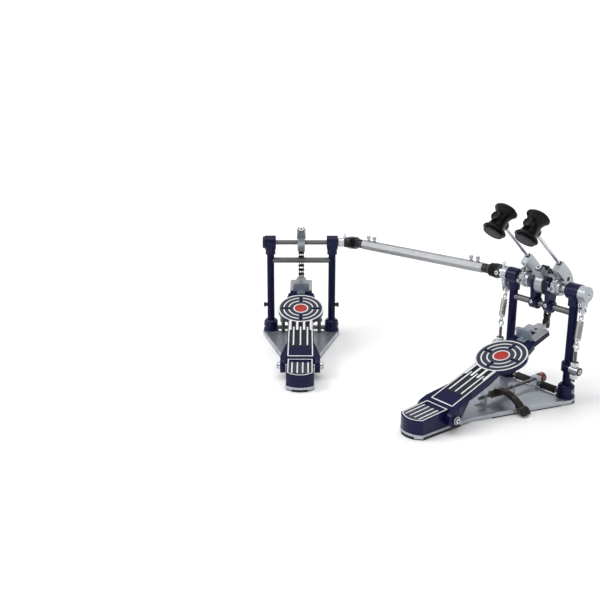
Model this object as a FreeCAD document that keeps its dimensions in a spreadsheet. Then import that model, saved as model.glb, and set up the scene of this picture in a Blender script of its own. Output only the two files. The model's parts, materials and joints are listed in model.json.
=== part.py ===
import FreeCAD, Part
import math
import os

import Sketcher
from FreeCAD import Placement, Rotation, Vector

# A double bass drum pedal: a primary pedal with two beaters, a slave pedal to its left and the
# drive shaft that joins them. Millimetres, +Z up, +Y towards the drum, +X to the drummer's right.
# The origin is on the floor under the middle of the primary pedal's rear rubber strip.
#
# Each pedal is drawn in its own frame: the floor point midway between its posts, X along the axle.

# Driving dimensions
SIZES = {
    # Layout of the two pedals
    "joint_reach": 115,
    "shaft_length": 347.8,
    "shaft_angle": 11.1,
    "slave_angle": 52.15,
    "beater_travel": 46,
    # Fits
    "seat_clearance": 0.02,
    "running_clearance": 0.05,
    "moving_gap": 0.4,
    # Posts, sockets and bars
    "post_spacing": 135,
    "post_diameter": 16,
    "post_seat": 8,
    "axle_height": 210,
    "socket_diameter": 30,
    "socket_height": 25,
    "socket_chamfer": 3,
    "socket_flange_diameter": 33,
    "socket_flange_height": 4,
    "crossbar_diameter": 12,
    "crossbar_drop": 40,
    "lower_bar_diameter": 9,
    "lower_bar_height": 14.5,
    "bar_seat": 5,
    "sleeve_diameter": 14.5,
    "sleeve_length": 31,
    "sleeve_offset": 29,
    # Axles, bearings and their housings
    "axle_diameter": 10,
    "housing_diameter": 30,
    "housing_width": 24,
    "housing_neck_diameter": 22,
    "housing_neck_drop": 11,
    "bearing_diameter": 19,
    "bearing_inset": 2,
    "end_cap_thickness": 4.5,
    "end_cap_diameter": 26,
    "spacer_diameter": 18,
    "spacer_width": 8,
    "bracket_offset": 16,
    "bracket_thickness": 8,
    "bracket_eye_diameter": 29,
    "bracket_foot_diameter": 22,
    "bracket_foot_rise": 7,
    "bracket_foot_width": 12,
    # Base plate, pads and heel
    "pad_thickness": 2.5,
    "plate_thickness": 2,
    "plate_edge_depth": 6.5,
    "plate_rear": 9,
    "plate_rear_half_width": 85,
    "plate_waist": 166,
    "plate_waist_half_width": 39,
    "plate_heel": 207,
    "plate_heel_half_width": 27,
    "plate_corner": 327,
    "plate_front_bulge": 12,
    "ear_radius": 17,
    "rear_pad_length": 60,
    "rear_pad_depth": 18,
    "edge_pad_width": 8,
    "edge_pad_inset": 6,
    "heel_inset": 0.6,
    "heel_rear_height": 39.5,
    "heel_slope": 5,
    "heel_gap": 1.6,
    "heel_boss_diameter": 15,
    "tread_height": 0.8,
    "tread_edge": 2,
    "tread_border": 2.6,
    "tread_line": 3,
    "heel_line_spacing": 10.3,
    # Footboard, drawn from its hinge axis
    "hinge_back": 263,
    "hinge_height": 24.5,
    "toe_pin_angle": 0.956,
    "board_top": 14,
    "board_thickness": 6,
    "board_start": 4,
    "board_rear_half_width": 27.5,
    "board_waist": 105,
    "board_waist_half_width": 26,
    "skirt_thickness": 3.5,
    "skirt_depth": 14,
    "disc_centre": 169.7,
    "disc_diameter": 95,
    "disc_thickness": 8,
    "disc_rim": 3.2,
    "ring_width": 3,
    "outer_ring_diameter": 75,
    "inner_ring_diameter": 53.8,
    "centre_ring_diameter": 32.3,
    "ring_gap": 12,
    "board_line_spacing": 14,
    "board_line_start": 46,
    "board_line_end": 106,
    "board_bar_start": 95,
    "board_bar_width": 5,
    "tread_start": 11,
    "neck_half_width": 32,
    "neck_tip_half_width": 23.5,
    "neck_shoulder": 203,
    "neck_waist": 228,
    "neck_waist_half_width": 27,
    "neck_step": 2,
    "neck_end": 276,
    "neck_thickness": 12,
    "lug_inner": 28.5,
    "lug_width": 10.5,
    "lug_diameter": 28,
    "lug_reach": 60,
    "pivot_diameter": 8,
    "pivot_head_diameter": 14,
    "pivot_head_height": 4,
    # Toe plate and toe stop
    "toe_thickness": 2.5,
    "toe_inset": 0.5,
    "toe_root_half_width": 11.5,
    "toe_tip_half_width": 8.5,
    "toe_tip_setback": 8.5,
    "toe_window_half_width": 8,
    "toe_window_start": 246,
    "toe_window_end": 261,
    "toe_hole_half_width": 3,
    "toe_hole_start": 265.5,
    "toe_hole_end": 271,
    "toe_eye_wall": 1.5,
    "toe_slot_slide": 1.9,
    "toe_slot_drop": 0.8,
    "toe_screw_cover": 0.8,
    "stop_start": 234,
    "stop_thickness": 3,
    "stop_width": 34,
    "stop_height": 14,
    "stop_foot_length": 10,
    "stop_foot_width": 17,
    "screw_head_diameter": 7,
    "screw_head_height": 2.8,
    # Chain and cam
    "chain_pitch": 9.525,
    "chain_links": 10,
    "chain_plate_height": 8.2,
    "chain_plate": 1.3,
    "chain_inner_width": 5.8,
    "chain_roller_diameter": 6.35,
    "chain_pin_diameter": 3.3,
    "chain_side_gap": 0.15,
    "chain_pin_gap": 0.1,
    "wrap_links": 3,
    "chain_lean": 4.5,
    "cam_radius": 20,
    "cam_width": 16,
    "cam_lug_width": 19,
    "cam_lug_depth": 13,
    "cam_lug_top": 36,
    "cam_lug_lean": 32,
    "cam_cheek": 2.2,
    "cam_bolt_diameter": 11,
    # Beaters, drawn from the axle with the rod upright
    "beater_offset": 35,
    "beater_lean": 48,
    "rod_offset": 28.8,
    "rod_diameter": 6,
    "rod_start": 16,
    "beater_reach": 151,
    "arm_width": 13,
    "arm_front": 12,
    "arm_back": 34,
    "arm_top": 38,
    "arm_shoulder": 12,
    "arm_tail": 24,
    "arm_tail_drop": 20,
    "arm_back_radius": 60,
    "arm_hole_diameter": 9,
    "arm_hole_offset": 19.5,
    "arm_hole_depth": 5,
    "arm_eye_diameter": 28,
    "clamp_across_flats": 29,
    "clamp_hub_width": 9,
    "clamp_hub_offset": 5.5,
    "head_length": 50,
    "head_diameter": 45,
    "head_rim": 5,
    "head_edge": 2,
    "head_waist_diameter": 23,
    "head_flare_radius": 35,
    "head_face_diameter": 37,
    "head_face_height": 2.5,
    "head_boss_diameter": 15,
    "head_boss_length": 36,
    "key_size": 6,
    "key_height": 11,
    "key_washer_diameter": 8,
    "key_washer_height": 2,
    "key_neck_height": 3.5,
    "key_stem_diameter": 4.6,
    "key_stem_length": 4,
    # Rockers, springs and adjusters
    "rocker_start": 80.3,
    "rocker_diameter": 28,
    "rocker_width": 10.3,
    "rocker_arm_width": 8,
    "rocker_reach": 30,
    "rocker_eye_diameter": 13,
    "rocker_pin_diameter": 4,
    "spring_offset": 86.2,
    "link_thickness": 3.2,
    "link_length": 10,
    "link_eye_diameter": 9,
    "spring_wire": 2,
    "spring_diameter": 13,
    "spring_curls": 12,
    "spring_pitch": 2.75,
    "spring_lead": 5,
    "hook_radius": 4,
    "eyebolt_back": 8,
    "eyebolt_eye_drop": 97,
    "eyebolt_eye_radius": 5,
    "eyebolt_wire": 3.2,
    "eyebolt_diameter": 5,
    "eyebolt_tail": 22,
    "adjuster_share": 0.43,
    "adjuster_ring_diameter": 24,
    "adjuster_ring_height": 16,
    "adjuster_boss_diameter": 15,
    "adjuster_boss_end": 97,
    "nut_diameter": 14,
    "nut_height": 8,
    "stub_diameter": 8,
    "stub_end": 83,
    "stub_seat": 4,
    # Hoop clamp
    "clamp_rod_diameter": 6,
    "clamp_rod_height": 22.6,
    "clamp_rod_start": 160,
    "clamp_rod_end": 19,
    "tab_rear": 148,
    "tab_front": 71,
    "tab_width": 14,
    "tab_thickness": 3,
    "tab_window": 16,
    "tongue_width": 24,
    "tongue_end": 20,
    "tongue_thickness": 2.4,
    "knob_diameter": 19,
    "knob_start": 8,
    "knob_offset": 1.5,
    "clip_width": 14,
    "clip_depth": 14.5,
    "clip_wall": 2.2,
    "lever_hub_diameter": 14,
    "lever_start": 128,
    "lever_hub_length": 28,
    "lever_width": 13,
    "lever_thickness": 5.5,
    "lever_clearance": 1.2,
    "lever_centre": 14,
    "lever_centre_drop": 30,
    "lever_bottom": 3.5,
    "lever_pad_height": 12,
    "lever_pad_width": 19,
    "lever_pad_thickness": 3,
    # Floor spurs of the slave
    "spur_diameter": 8,
    "spur_offset": 40,
    "spur_back": 17,
    "spur_length": 34,
    "spur_tip": 5,
    "spur_tip_diameter": 2,
    "spur_head_diameter": 13,
    "spur_head_height": 7,
    # Drive shaft and universal joints
    "tube_across_flats": 18,
    "tube_start": 27,
    "core_diameter": 13,
    "core_length": 60,
    "yoke_start": 11,
    "yoke_hub_length": 13,
    "yoke_hub_diameter": 20,
    "yoke_grip": 10.4,
    "shaft_yoke_diameter": 16,
    "yoke_arm_inner": 4.4,
    "yoke_arm_thickness": 2,
    "yoke_arm_width": 6.4,
    "yoke_arm_end": 3.2,
    "cross_pin_diameter": 2.4,
    "cross_block": 4.4,
    "cross_play": 1,
    "boot_reach": 15,
    "boot_ribs": 5,
    "boot_ridge_diameter": 27.5,
    "boot_valley_diameter": 24.8,
    "boot_bore": 22.8,
    "boot_cuff": 4,
    "boot_wall": 1.6,
    "boot_slope": 1,
    "boot_taper": 3.2,
    "boot_taper_ribs": 3,
    "boot_bore_steps": 5,
    "boot_rib_root": 0.05,
    "boot_rib_shoulder": 0.3,
    "shaft_screw_start": 40,
    "shaft_screw_spacing": 15,
}

doc = FreeCAD.newDocument("double_bass_drum_pedal")
sheet = doc.addObject("Spreadsheet::Sheet", "dims")
for row, (name, number) in enumerate(SIZES.items(), start=1):
    sheet.set(f"A{row}", name)
    sheet.set(f"B{row}", str(number))
    sheet.setAlias(f"B{row}", name)
doc.recompute()


class Size:
    """A number together with the sheet expression that gives it."""

    def __init__(self, value, text):
        self.value = value
        self.text = text

    def __add__(self, other):
        other = as_size(other)
        return Size(self.value + other.value, f"({self.text} + {other.text})")

    def __sub__(self, other):
        other = as_size(other)
        return Size(self.value - other.value, f"({self.text} - {other.text})")

    def __mul__(self, other):
        other = as_size(other)
        return Size(self.value * other.value, f"({self.text} * {other.text})")

    def __truediv__(self, other):
        other = as_size(other)
        return Size(self.value / other.value, f"({self.text} / {other.text})")

    def __neg__(self):
        return Size(-self.value, f"(0 - {self.text})")

    __radd__ = __add__
    __rmul__ = __mul__


def as_size(number):
    """A plain number, or a size as it is."""
    if isinstance(number, Size):
        return number
    return Size(number, f"({number})")


def sine(angle):
    return Size(math.sin(math.radians(angle.value)), f"sin({angle.text})")


def cosine(angle):
    return Size(math.cos(math.radians(angle.value)), f"cos({angle.text})")


def tangent(angle):
    return Size(math.tan(math.radians(angle.value)), f"tan({angle.text})")


def arctangent(rise, run):
    ratio = rise / run
    return Size(math.degrees(math.atan(ratio.value)), f"(atan({ratio.text}) / 1 deg)")


def hypotenuse(first, second):
    total = first * first + second * second
    return Size(math.sqrt(total.value), f"sqrt({total.text})")


def leg(hypotenuse_size, side):
    total = hypotenuse_size * hypotenuse_size - side * side
    return Size(math.sqrt(total.value), f"sqrt({total.text})")


class Sheet:
    """The sheet's values by name."""


S = Sheet()
for name in SIZES:
    setattr(S, name, Size(float(getattr(sheet, name)), f"dims.{name}"))

# Derived places shared by several pieces
post_x = S.post_spacing / 2
lip_bottom = S.pad_thickness
plate_top = lip_bottom + S.plate_edge_depth
rear_pad_centre = S.plate_rear + S.rear_pad_depth / 2
housing_end = post_x + S.housing_width / 2
heel_half_width = S.plate_heel_half_width - S.heel_inset
bulge = S.plate_front_bulge
half_chord = S.plate_heel_half_width
front_radius = (half_chord * half_chord + bulge * bulge) / (bulge * 2)
front_centre = S.plate_corner + bulge - front_radius
deck_bottom = S.board_top - S.board_thickness
# The crossbar, the spring's lower eye and the adjuster hang from the axle's height
crossbar_height = S.axle_height - S.crossbar_drop
eye_height = S.axle_height - S.eyebolt_eye_drop
socket_top = plate_top + S.socket_height
adjuster_height = socket_top + (eye_height - socket_top) * S.adjuster_share
toe_bottom = S.board_top - S.toe_thickness
axle_radius = S.axle_diameter / 2
axle_bore = axle_radius + S.seat_clearance
bearing_bore = axle_radius + S.running_clearance
half_travel = S.beater_travel / 2
link_middle = S.cam_radius + S.chain_plate_height / 2 + S.moving_gap
half_pitch = S.chain_pitch / 2
chain_radius = hypotenuse(link_middle, half_pitch)
link_angle = arctangent(half_pitch, link_middle) * 2
chain_outer = S.chain_inner_width / 2 + S.chain_plate * 2 + S.chain_side_gap
yoke_hub_start = S.joint_reach - S.yoke_start - S.yoke_hub_length

AXIS_TURN = {
    "X": Rotation(Vector(0, 1, 0), 90),
    "Y": Rotation(Vector(1, 0, 0), -90),
    "Z": Rotation(),
}


def bind(item, **sizes):
    """Tie an object's properties to sheet expressions."""
    for prop, size in sizes.items():
        item.setExpression(prop, as_size(size).text)


def move(item, at):
    for letter, size in zip("xyz", at):
        item.setExpression(f"Placement.Base.{letter}", as_size(size).text)


def span(low, high):
    return as_size(high) - as_size(low)


def cylinder(name, radius, axis, low, high, at):
    """A cylinder along X, Y or Z from low to high, with the other two coordinates in at."""
    item = doc.addObject("Part::Cylinder", name)
    bind(item, Radius=radius, Height=span(low, high))
    item.Placement = Placement(Vector(), AXIS_TURN[axis])
    place = list(at)
    place.insert("XYZ".index(axis), low)
    move(item, place)
    return item


def cone(name, low_radius, high_radius, low, high, at):
    item = doc.addObject("Part::Cone", name)
    bind(item, Radius1=low_radius, Radius2=high_radius, Height=span(low, high))
    move(item, (*at, low))
    return item


def box(name, x, y, z):
    """A box from three pairs of low and high sides."""
    item = doc.addObject("Part::Box", name)
    bind(item, Length=span(*x), Width=span(*y), Height=span(*z))
    move(item, (x[0], y[0], z[0]))
    return item


def fuse(name, *items):
    joined = doc.addObject("Part::MultiFuse", name)
    joined.Shapes = list(items)
    return joined


def cut(name, base, *tools):
    result = doc.addObject("Part::Cut", name)
    result.Base = base
    result.Tool = tools[0] if len(tools) == 1 else fuse(name + "_tools", *tools)
    return result


def common(name, first, second):
    result = doc.addObject("Part::Common", name)
    result.Base = first
    result.Tool = second
    return result


def group(name, items, at=(0, 0, 0), axis=(0, 0, 1), angle=0):
    """Pieces carried together, turned about an axis and moved."""
    item = doc.addObject("Part::Compound", name)
    item.Links = list(items)
    angle = as_size(angle)
    item.Placement = Placement(Vector(), Rotation(Vector(*axis), angle.value))
    item.setExpression("Placement.Rotation.Angle", angle.text)
    move(item, at)
    return item


def constrain_point(sketch, line, end, point):
    """Hold one end of a sketch line at its two sizes from the sketch's origin."""
    for kind, axis, size in zip(("DistanceX", "DistanceY"), (-2, -1), point):
        size = as_size(size)
        if size.value == 0:
            sketch.addConstraint(Sketcher.Constraint("PointOnObject", line, end, axis))
        else:
            held = Sketcher.Constraint(kind, -1, 1, line, end, size.value)
            number = sketch.addConstraint(held)
            sketch.setExpression(f"Constraints[{number}]", size.text)


def arc_between(start, end, radius):
    """An arc under a half circle from start to end, to the left, or to the right if negative."""
    if radius < 0:
        return arc_between(end, start, -radius)
    chord = end - start
    middle = (start + end) / 2
    left = Vector(-chord.y, chord.x, 0).normalize()
    depth = math.sqrt(radius**2 - (chord.Length / 2) ** 2)
    centre = middle + left * depth
    first = math.atan2(start.y - centre.y, start.x - centre.x)
    last = math.atan2(end.y - centre.y, end.x - centre.x)
    return Part.ArcOfCircle(Part.Circle(centre, Vector(0, 0, 1), radius), first, last)


def draw(sketch, outline):
    """A closed outline: each point holds two sizes, and a third is the radius of the arc to it.

    The outline runs to the left round its inside, and an arc with a negative radius is hollow."""
    points = []
    for corner in outline:
        points.append(Vector(as_size(corner[0]).value, as_size(corner[1]).value, 0))
    count = len(outline)
    ends = []
    for i in range(count):
        following = outline[(i + 1) % count]
        start = points[i]
        end = points[(i + 1) % count]
        hollow = False
        if len(following) == 3:
            hollow = following[2].value < 0
            sketch.addGeometry(arc_between(start, end, following[2].value), False)
        else:
            sketch.addGeometry(Part.LineSegment(start, end), False)
        ends.append((2, 1) if hollow else (1, 2))
    for i in range(count):
        after = (i + 1) % count
        joint = Sketcher.Constraint("Coincident", i, ends[i][1], after, ends[after][0])
        sketch.addConstraint(joint)
    for i, corner in enumerate(outline):
        constrain_point(sketch, i, ends[i][0], corner[:2])
    for i in range(count):
        following = outline[(i + 1) % count]
        if len(following) == 3:
            size = following[2]
            size = -size if size.value < 0 else size
            number = sketch.addConstraint(Sketcher.Constraint("Radius", i, size.value))
            sketch.setExpression(f"Constraints[{number}]", size.text)


def sketch_in(body, plane):
    sketch = body.newObject("Sketcher::SketchObject", body.Name + "_outline")
    faces = [face for face in body.Origin.OriginFeatures if face.Role == plane + "_Plane"]
    sketch.AttachmentSupport = [(faces[0], "")]
    sketch.MapMode = "FlatFace"
    return sketch


def prism(name, plane, outline, low, high):
    """A body padded from an outline in XY, XZ or YZ, between two places along the third axis."""
    body = doc.addObject("PartDesign::Body", name)
    sketch = sketch_in(body, plane)
    start = -as_size(high) if plane == "XZ" else as_size(low)
    sketch.setExpression("AttachmentOffset.Base.z", start.text)
    draw(sketch, outline)
    pad = body.newObject("PartDesign::Pad", name + "_pad")
    pad.Profile = sketch
    bind(pad, Length=span(low, high))
    return body


def turned(name, outline):
    """A body turned about Z from an outline of radius and height."""
    body = doc.addObject("PartDesign::Body", name)
    sketch = sketch_in(body, "XZ")
    draw(sketch, outline)
    revolution = body.newObject("PartDesign::Revolution", name + "_revolution")
    revolution.Profile = sketch
    revolution.ReferenceAxis = (sketch, ["V_Axis"])
    revolution.Angle = 360
    return body


def tube(name, outer, inner, axis, low, high, at):
    shell = cylinder(name + "_outside", outer, axis, low, high, at)
    bore = cylinder(name + "_bore", inner, axis, low, high, at)
    return cut(name, shell, bore)


class Frame:
    """Where a pedal or the shaft stands in the part: a place and a turn about Z."""

    def __init__(self, at, angle):
        self.at = at
        self.angle = angle


shaft_end_x = S.joint_reach + S.shaft_length * cosine(S.shaft_angle)
shaft_end_y = rear_pad_centre - S.shaft_length * sine(S.shaft_angle)
PRIMARY = Frame((0, rear_pad_centre, 0), as_size(0))
SLAVE = Frame(
    (
        -shaft_end_x - S.joint_reach * cosine(S.slave_angle),
        shaft_end_y - S.joint_reach * sine(S.slave_angle),
        0,
    ),
    S.slave_angle,
)
SHAFT = Frame((-shaft_end_x, shaft_end_y, S.axle_height), S.shaft_angle)
WORLD = Frame((0, 0, 0), as_size(0))
PEDALS = {"primary": PRIMARY, "slave": SLAVE}

nodes = []


def node(label, items, frame):
    """A finished sub-part, standing in its frame."""
    item = group(label, items, frame.at, (0, 0, 1), frame.angle)
    item.Label = label
    nodes.append(item)
    return item


def standing(name, items, frame):
    """Pieces in their frame that share a node with pieces of another frame."""
    return group(name, items, frame.at, (0, 0, 1), frame.angle)


def key_screw(name, seat, at):
    """A square-head screw with a washer, upright on its seat, and the hole for its stem."""
    half = S.key_size / 2
    x, y = as_size(at[0]), as_size(at[1])
    washer_top = seat + S.key_washer_height
    neck_top = washer_top + S.key_neck_height
    bottom = seat - S.key_stem_length
    washer = cylinder(name + "_washer", S.key_washer_diameter / 2, "Z", seat, washer_top, (x, y))
    stem = cylinder(name + "_stem", S.key_stem_diameter / 2, "Z", bottom, neck_top, (x, y))
    sides = (x - half, x + half), (y - half, y + half)
    head = box(name + "_head", *sides, (neck_top, seat + S.key_height))
    hole_radius = S.key_stem_diameter / 2 + S.seat_clearance
    hole = cylinder(name + "_hole", hole_radius, "Z", bottom, seat, (x, y))
    return fuse(name, washer, stem, head), hole


def hexagon(across_flats):
    """Corners of a hexagon with a flat square to each end of the first axis."""
    corner = across_flats / 2 / cosine(as_size(30))
    points = []
    for i in range(6):
        angle = as_size(30 + 60 * i)
        points.append((corner * cosine(angle), corner * sine(angle)))
    return points


# Base plates and rubber pads


def front_corner(inset):
    """How far back the plate's front corners lie, on an arc drawn in by inset."""
    return front_centre + leg(front_radius - inset, S.plate_heel_half_width - inset)


def base_outline(inset):
    rear = -S.plate_rear - inset
    corner = -front_corner(inset)
    half = S.plate_heel_half_width - inset
    waist = S.plate_waist_half_width - inset
    wide = S.plate_rear_half_width - inset
    ear = S.ear_radius - inset
    return [
        (-half, corner),
        (half, corner, front_radius - inset),
        (half, -S.plate_heel),
        (waist, -S.plate_waist),
        (wide, rear),
        (post_x + ear, 0),
        (post_x, ear, ear),
        (post_x - ear, 0, ear),
        (post_x - ear, rear),
        (ear - post_x, rear),
        (ear - post_x, 0),
        (-post_x, ear, ear),
        (-post_x - ear, 0, ear),
        (-wide, rear),
        (-waist, -S.plate_waist),
        (-half, -S.plate_heel),
    ]


def pressed_plate(name):
    """A plate with its edges bent down, open below."""
    outside = prism(name + "_outside", "XY", base_outline(as_size(0)), lip_bottom, plate_top)
    under = plate_top - S.plate_thickness
    inside = prism(name + "_inside", "XY", base_outline(S.plate_thickness), lip_bottom, under)
    return cut(name, outside, inside)


def clamp_tab(name, back):
    half = S.tab_width / 2
    top = S.clamp_rod_height + half
    y = (-back - S.tab_thickness / 2, -back + S.tab_thickness / 2)
    return box(name, (-half, half), y, (plate_top - S.plate_thickness, top))


def base_plate(name, frame):
    plate = pressed_plate(name + "_sheet")
    if frame is PRIMARY:
        tongue_half = S.tongue_width / 2
        tongue = box(
            name + "_tongue",
            (-tongue_half, tongue_half),
            (-S.plate_rear - S.plate_thickness, S.tongue_end),
            (lip_bottom, lip_bottom + S.tongue_thickness),
        )
        rear_tab = clamp_tab(name + "_rear_tab", S.tab_rear)
        front_tab = clamp_tab(name + "_front_tab", S.tab_front)
        joined = fuse(name + "_joined", plate, tongue, rear_tab, front_tab)
        hole = cylinder(
            name + "_rod_hole",
            S.clamp_rod_diameter / 2 + S.running_clearance,
            "Y",
            -S.clamp_rod_start,
            -S.plate_rear,
            (0, S.clamp_rod_height),
        )
        window_end = -S.tab_rear - S.tab_thickness / 2
        window = box(
            name + "_window",
            (-S.tab_width / 2, S.tab_width / 2),
            (window_end - S.tab_window, window_end),
            (lip_bottom, plate_top),
        )
        plate = cut(name + "_finished", joined, hole, window)
    else:
        holes = []
        for sign in (-1, 1):
            holes.append(
                cylinder(
                    name + "_spur_hole",
                    S.spur_diameter / 2 + S.running_clearance,
                    "Z",
                    lip_bottom,
                    plate_top,
                    (S.spur_offset * sign, -S.spur_back),
                )
            )
        plate = cut(name + "_finished", plate, *holes)
    node(name, [plate], frame)


def heel_outline(inset, rear):
    half = S.plate_heel_half_width - inset
    corner = -front_corner(inset)
    return [(-half, corner), (half, corner, front_radius - inset), (half, rear), (-half, rear)]


def base_pads(name, frame):
    """A heel pad, two corner pads, two edge strips and a rear strip."""
    bottom_top = (0, S.pad_thickness)
    heel = prism(name + "_heel", "XY", heel_outline(S.heel_inset, -S.plate_heel), *bottom_top)
    half = S.rear_pad_length / 2
    rear_y = (-S.plate_rear - S.rear_pad_depth, -S.plate_rear)
    rear = box(name + "_rear", (-half, half), rear_y, bottom_top)
    pads = [heel, rear]
    for sign in (-1, 1):
        pads.append(cylinder(name + "_corner", S.ear_radius, "Z", *bottom_top, (post_x * sign, 0)))
        rear_x = S.plate_rear_half_width - S.edge_pad_inset
        waist_x = S.plate_waist_half_width
        edge = [
            (rear_x * sign, -S.plate_rear - S.ear_radius),
            ((rear_x - S.edge_pad_width) * sign, -S.plate_rear - S.ear_radius),
            ((waist_x - S.edge_pad_width) * sign, -S.plate_waist),
            (waist_x * sign, -S.plate_waist),
        ]
        pads.append(prism(name + "_edge", "XY", edge, *bottom_top))
    return standing(name, pads, frame)


# Heel block and pivot


def heel_top(back):
    """Height of the heel block's sloping top at a distance behind the post line."""
    return S.heel_rear_height - (back - S.hinge_back) * tangent(S.heel_slope)


def heel_block(name, frame):
    rear = -S.hinge_back - S.heel_gap
    front = S.plate_corner + bulge
    high = S.heel_rear_height * 2
    wide = S.plate_heel_half_width * 2
    column = prism(name + "_column", "XY", heel_outline(S.heel_inset, rear), plate_top, high)
    slope = [
        (-S.hinge_back, heel_top(S.hinge_back)),
        (-S.hinge_back, high),
        (-front, high),
        (-front, heel_top(front)),
    ]
    above = prism(name + "_above", "YZ", slope, -wide, wide)
    block = cut(name + "_block", column, above)
    boss_at = (-S.hinge_back, S.hinge_height)
    boss_radius = S.heel_boss_diameter / 2
    boss = cylinder(name + "_boss", boss_radius, "X", -heel_half_width, heel_half_width, boss_at)
    web = box(
        name + "_web",
        (-heel_half_width, heel_half_width),
        (-S.hinge_back - S.heel_gap * 2, -S.hinge_back),
        (plate_top, S.hinge_height),
    )
    bore_radius = S.pivot_diameter / 2 + S.running_clearance
    bore = cylinder(name + "_bore", bore_radius, "X", -wide, wide, boss_at)
    joined = fuse(name + "_joined", block, boss, web, heel_tread(name + "_tread", high, wide))
    node(name, [cut(name + "_finished", joined, bore)], frame)


def heel_tread(name, high, wide):
    """Raised border and lines on the sloping top of the heel block."""
    rear = -S.hinge_back - S.heel_gap - S.tread_edge
    edge = S.heel_inset + S.tread_edge
    border_rear = rear - S.tread_border
    rim = prism(name + "_rim", "XY", heel_outline(edge, rear), plate_top, high)
    inner = heel_outline(edge + S.tread_border, border_rear)
    field = prism(name + "_field", "XY", inner, plate_top, high)
    border = cut(name + "_border", rim, field)
    half = S.tread_line / 2
    lines = []
    for place in (-1.5, -0.5, 0.5, 1.5):
        x = S.heel_line_spacing * place
        y = (-S.plate_corner, border_rear - S.tread_line)
        lines.append(box(name + "_line", (x - half, x + half), y, (plate_top, high)))
    front = S.plate_corner + bulge
    skin = [
        (-S.hinge_back, heel_top(S.hinge_back) - S.tread_height),
        (-S.hinge_back, heel_top(S.hinge_back) + S.tread_height),
        (-front, heel_top(front) + S.tread_height),
        (-front, heel_top(front) - S.tread_height),
    ]
    layer = prism(name + "_layer", "YZ", skin, -wide, wide)
    return common(name, fuse(name + "_pattern", border, *lines), layer)


def pivot_bolt(name, frame):
    """The heel pivot with a head outside each lug."""
    end = S.lug_inner + S.lug_width
    at = (-S.hinge_back, S.hinge_height)
    head_end = end + S.moving_gap + S.pivot_head_height
    pin = cylinder(name + "_pin", S.pivot_diameter / 2, "X", -head_end, head_end, at)
    heads = []
    for low, high in ((-head_end, -end - S.moving_gap), (end + S.moving_gap, head_end)):
        heads.append(cylinder(name + "_head", S.pivot_head_diameter / 2, "X", low, high, at))
    return standing(name, [fuse(name + "_bolt", pin, *heads)], frame)


# Posts, sockets, housings and bars


def bar_x(diameter):
    """Half the length of a bar that sits in two round pieces of this diameter."""
    return post_x - diameter / 2 + S.bar_seat


def posts(name, frame):
    top = S.axle_height - S.housing_diameter / 2 - S.housing_neck_drop + S.post_seat
    bar_end = bar_x(S.post_diameter)
    bar_radius = S.crossbar_diameter / 2 + S.seat_clearance
    hole = cylinder(
        name + "_bar_hole", bar_radius, "X", -bar_end, bar_end, (0, crossbar_height)
    )
    pair = []
    for sign in (-1, 1):
        x = post_x * sign
        post = cylinder(name + "_post", S.post_diameter / 2, "Z", plate_top, top, (x, 0))
        near = (post_x + S.post_diameter / 2 - S.stub_seat) * sign
        far = S.stub_end * sign
        low, high = (near, far) if sign > 0 else (far, near)
        stub_radius = S.stub_diameter / 2 + S.seat_clearance
        side = cylinder(
            name + "_side_hole", stub_radius, "X", low, high, (0, adjuster_height)
        )
        pair.append(cut(name + "_drilled", post, hole, side))
    node(name, pair, frame)


def post_sockets(name, frame):
    chamfer = socket_top - S.socket_chamfer
    flange_top = plate_top + S.socket_flange_height
    radius = S.socket_diameter / 2
    bore_radius = S.post_diameter / 2 + S.seat_clearance
    bar_end = bar_x(S.socket_diameter)
    bar_radius = S.lower_bar_diameter / 2 + S.seat_clearance
    hole = cylinder(
        name + "_bar_hole", bar_radius, "X", -bar_end, bar_end, (0, S.lower_bar_height)
    )
    pair = []
    for sign in (-1, 1):
        at = (post_x * sign, 0)
        flange = cylinder(
            name + "_flange", S.socket_flange_diameter / 2, "Z", plate_top, flange_top, at
        )
        barrel = cylinder(name + "_barrel", radius, "Z", plate_top, chamfer, at)
        neck = cone(name + "_neck", radius, radius - S.socket_chamfer, chamfer, socket_top, at)
        bore = cylinder(name + "_bore", bore_radius, "Z", plate_top, socket_top, at)
        pair.append(cut(name + "_socket", fuse(name + "_body", flange, barrel, neck), bore, hole))
    node(name, pair, frame)


def bearing_housings(name, frame):
    radius = S.housing_diameter / 2
    neck_bottom = S.axle_height - radius - S.housing_neck_drop
    half = S.housing_width / 2
    bore_radius = S.bearing_diameter / 2 + S.seat_clearance
    post_radius = S.post_diameter / 2 + S.seat_clearance
    pair = []
    for sign in (-1, 1):
        x = post_x * sign
        ends = (x - half, x + half)
        barrel = cylinder(name + "_barrel", radius, "X", *ends, (0, S.axle_height))
        neck_radius = S.housing_neck_diameter / 2
        neck = cylinder(name + "_neck", neck_radius, "Z", neck_bottom, S.axle_height, (x, 0))
        bore = cylinder(name + "_bore", bore_radius, "X", *ends, (0, S.axle_height))
        seat_top = neck_bottom + S.post_seat
        seat = cylinder(name + "_seat", post_radius, "Z", neck_bottom, seat_top, (x, 0))
        pair.append(cut(name + "_housing", fuse(name + "_body", barrel, neck), bore, seat))
    node(name, pair, frame)


def housing_bearings(name, frame):
    half = S.housing_width / 2 - S.bearing_inset
    rings = []
    for sign in (-1, 1):
        x = post_x * sign
        ends = (x - half, x + half)
        at = (0, S.axle_height)
        rings.append(
            tube(name + "_ring", S.bearing_diameter / 2, bearing_bore, "X", *ends, at)
        )
    return standing(name, rings, frame)


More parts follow.
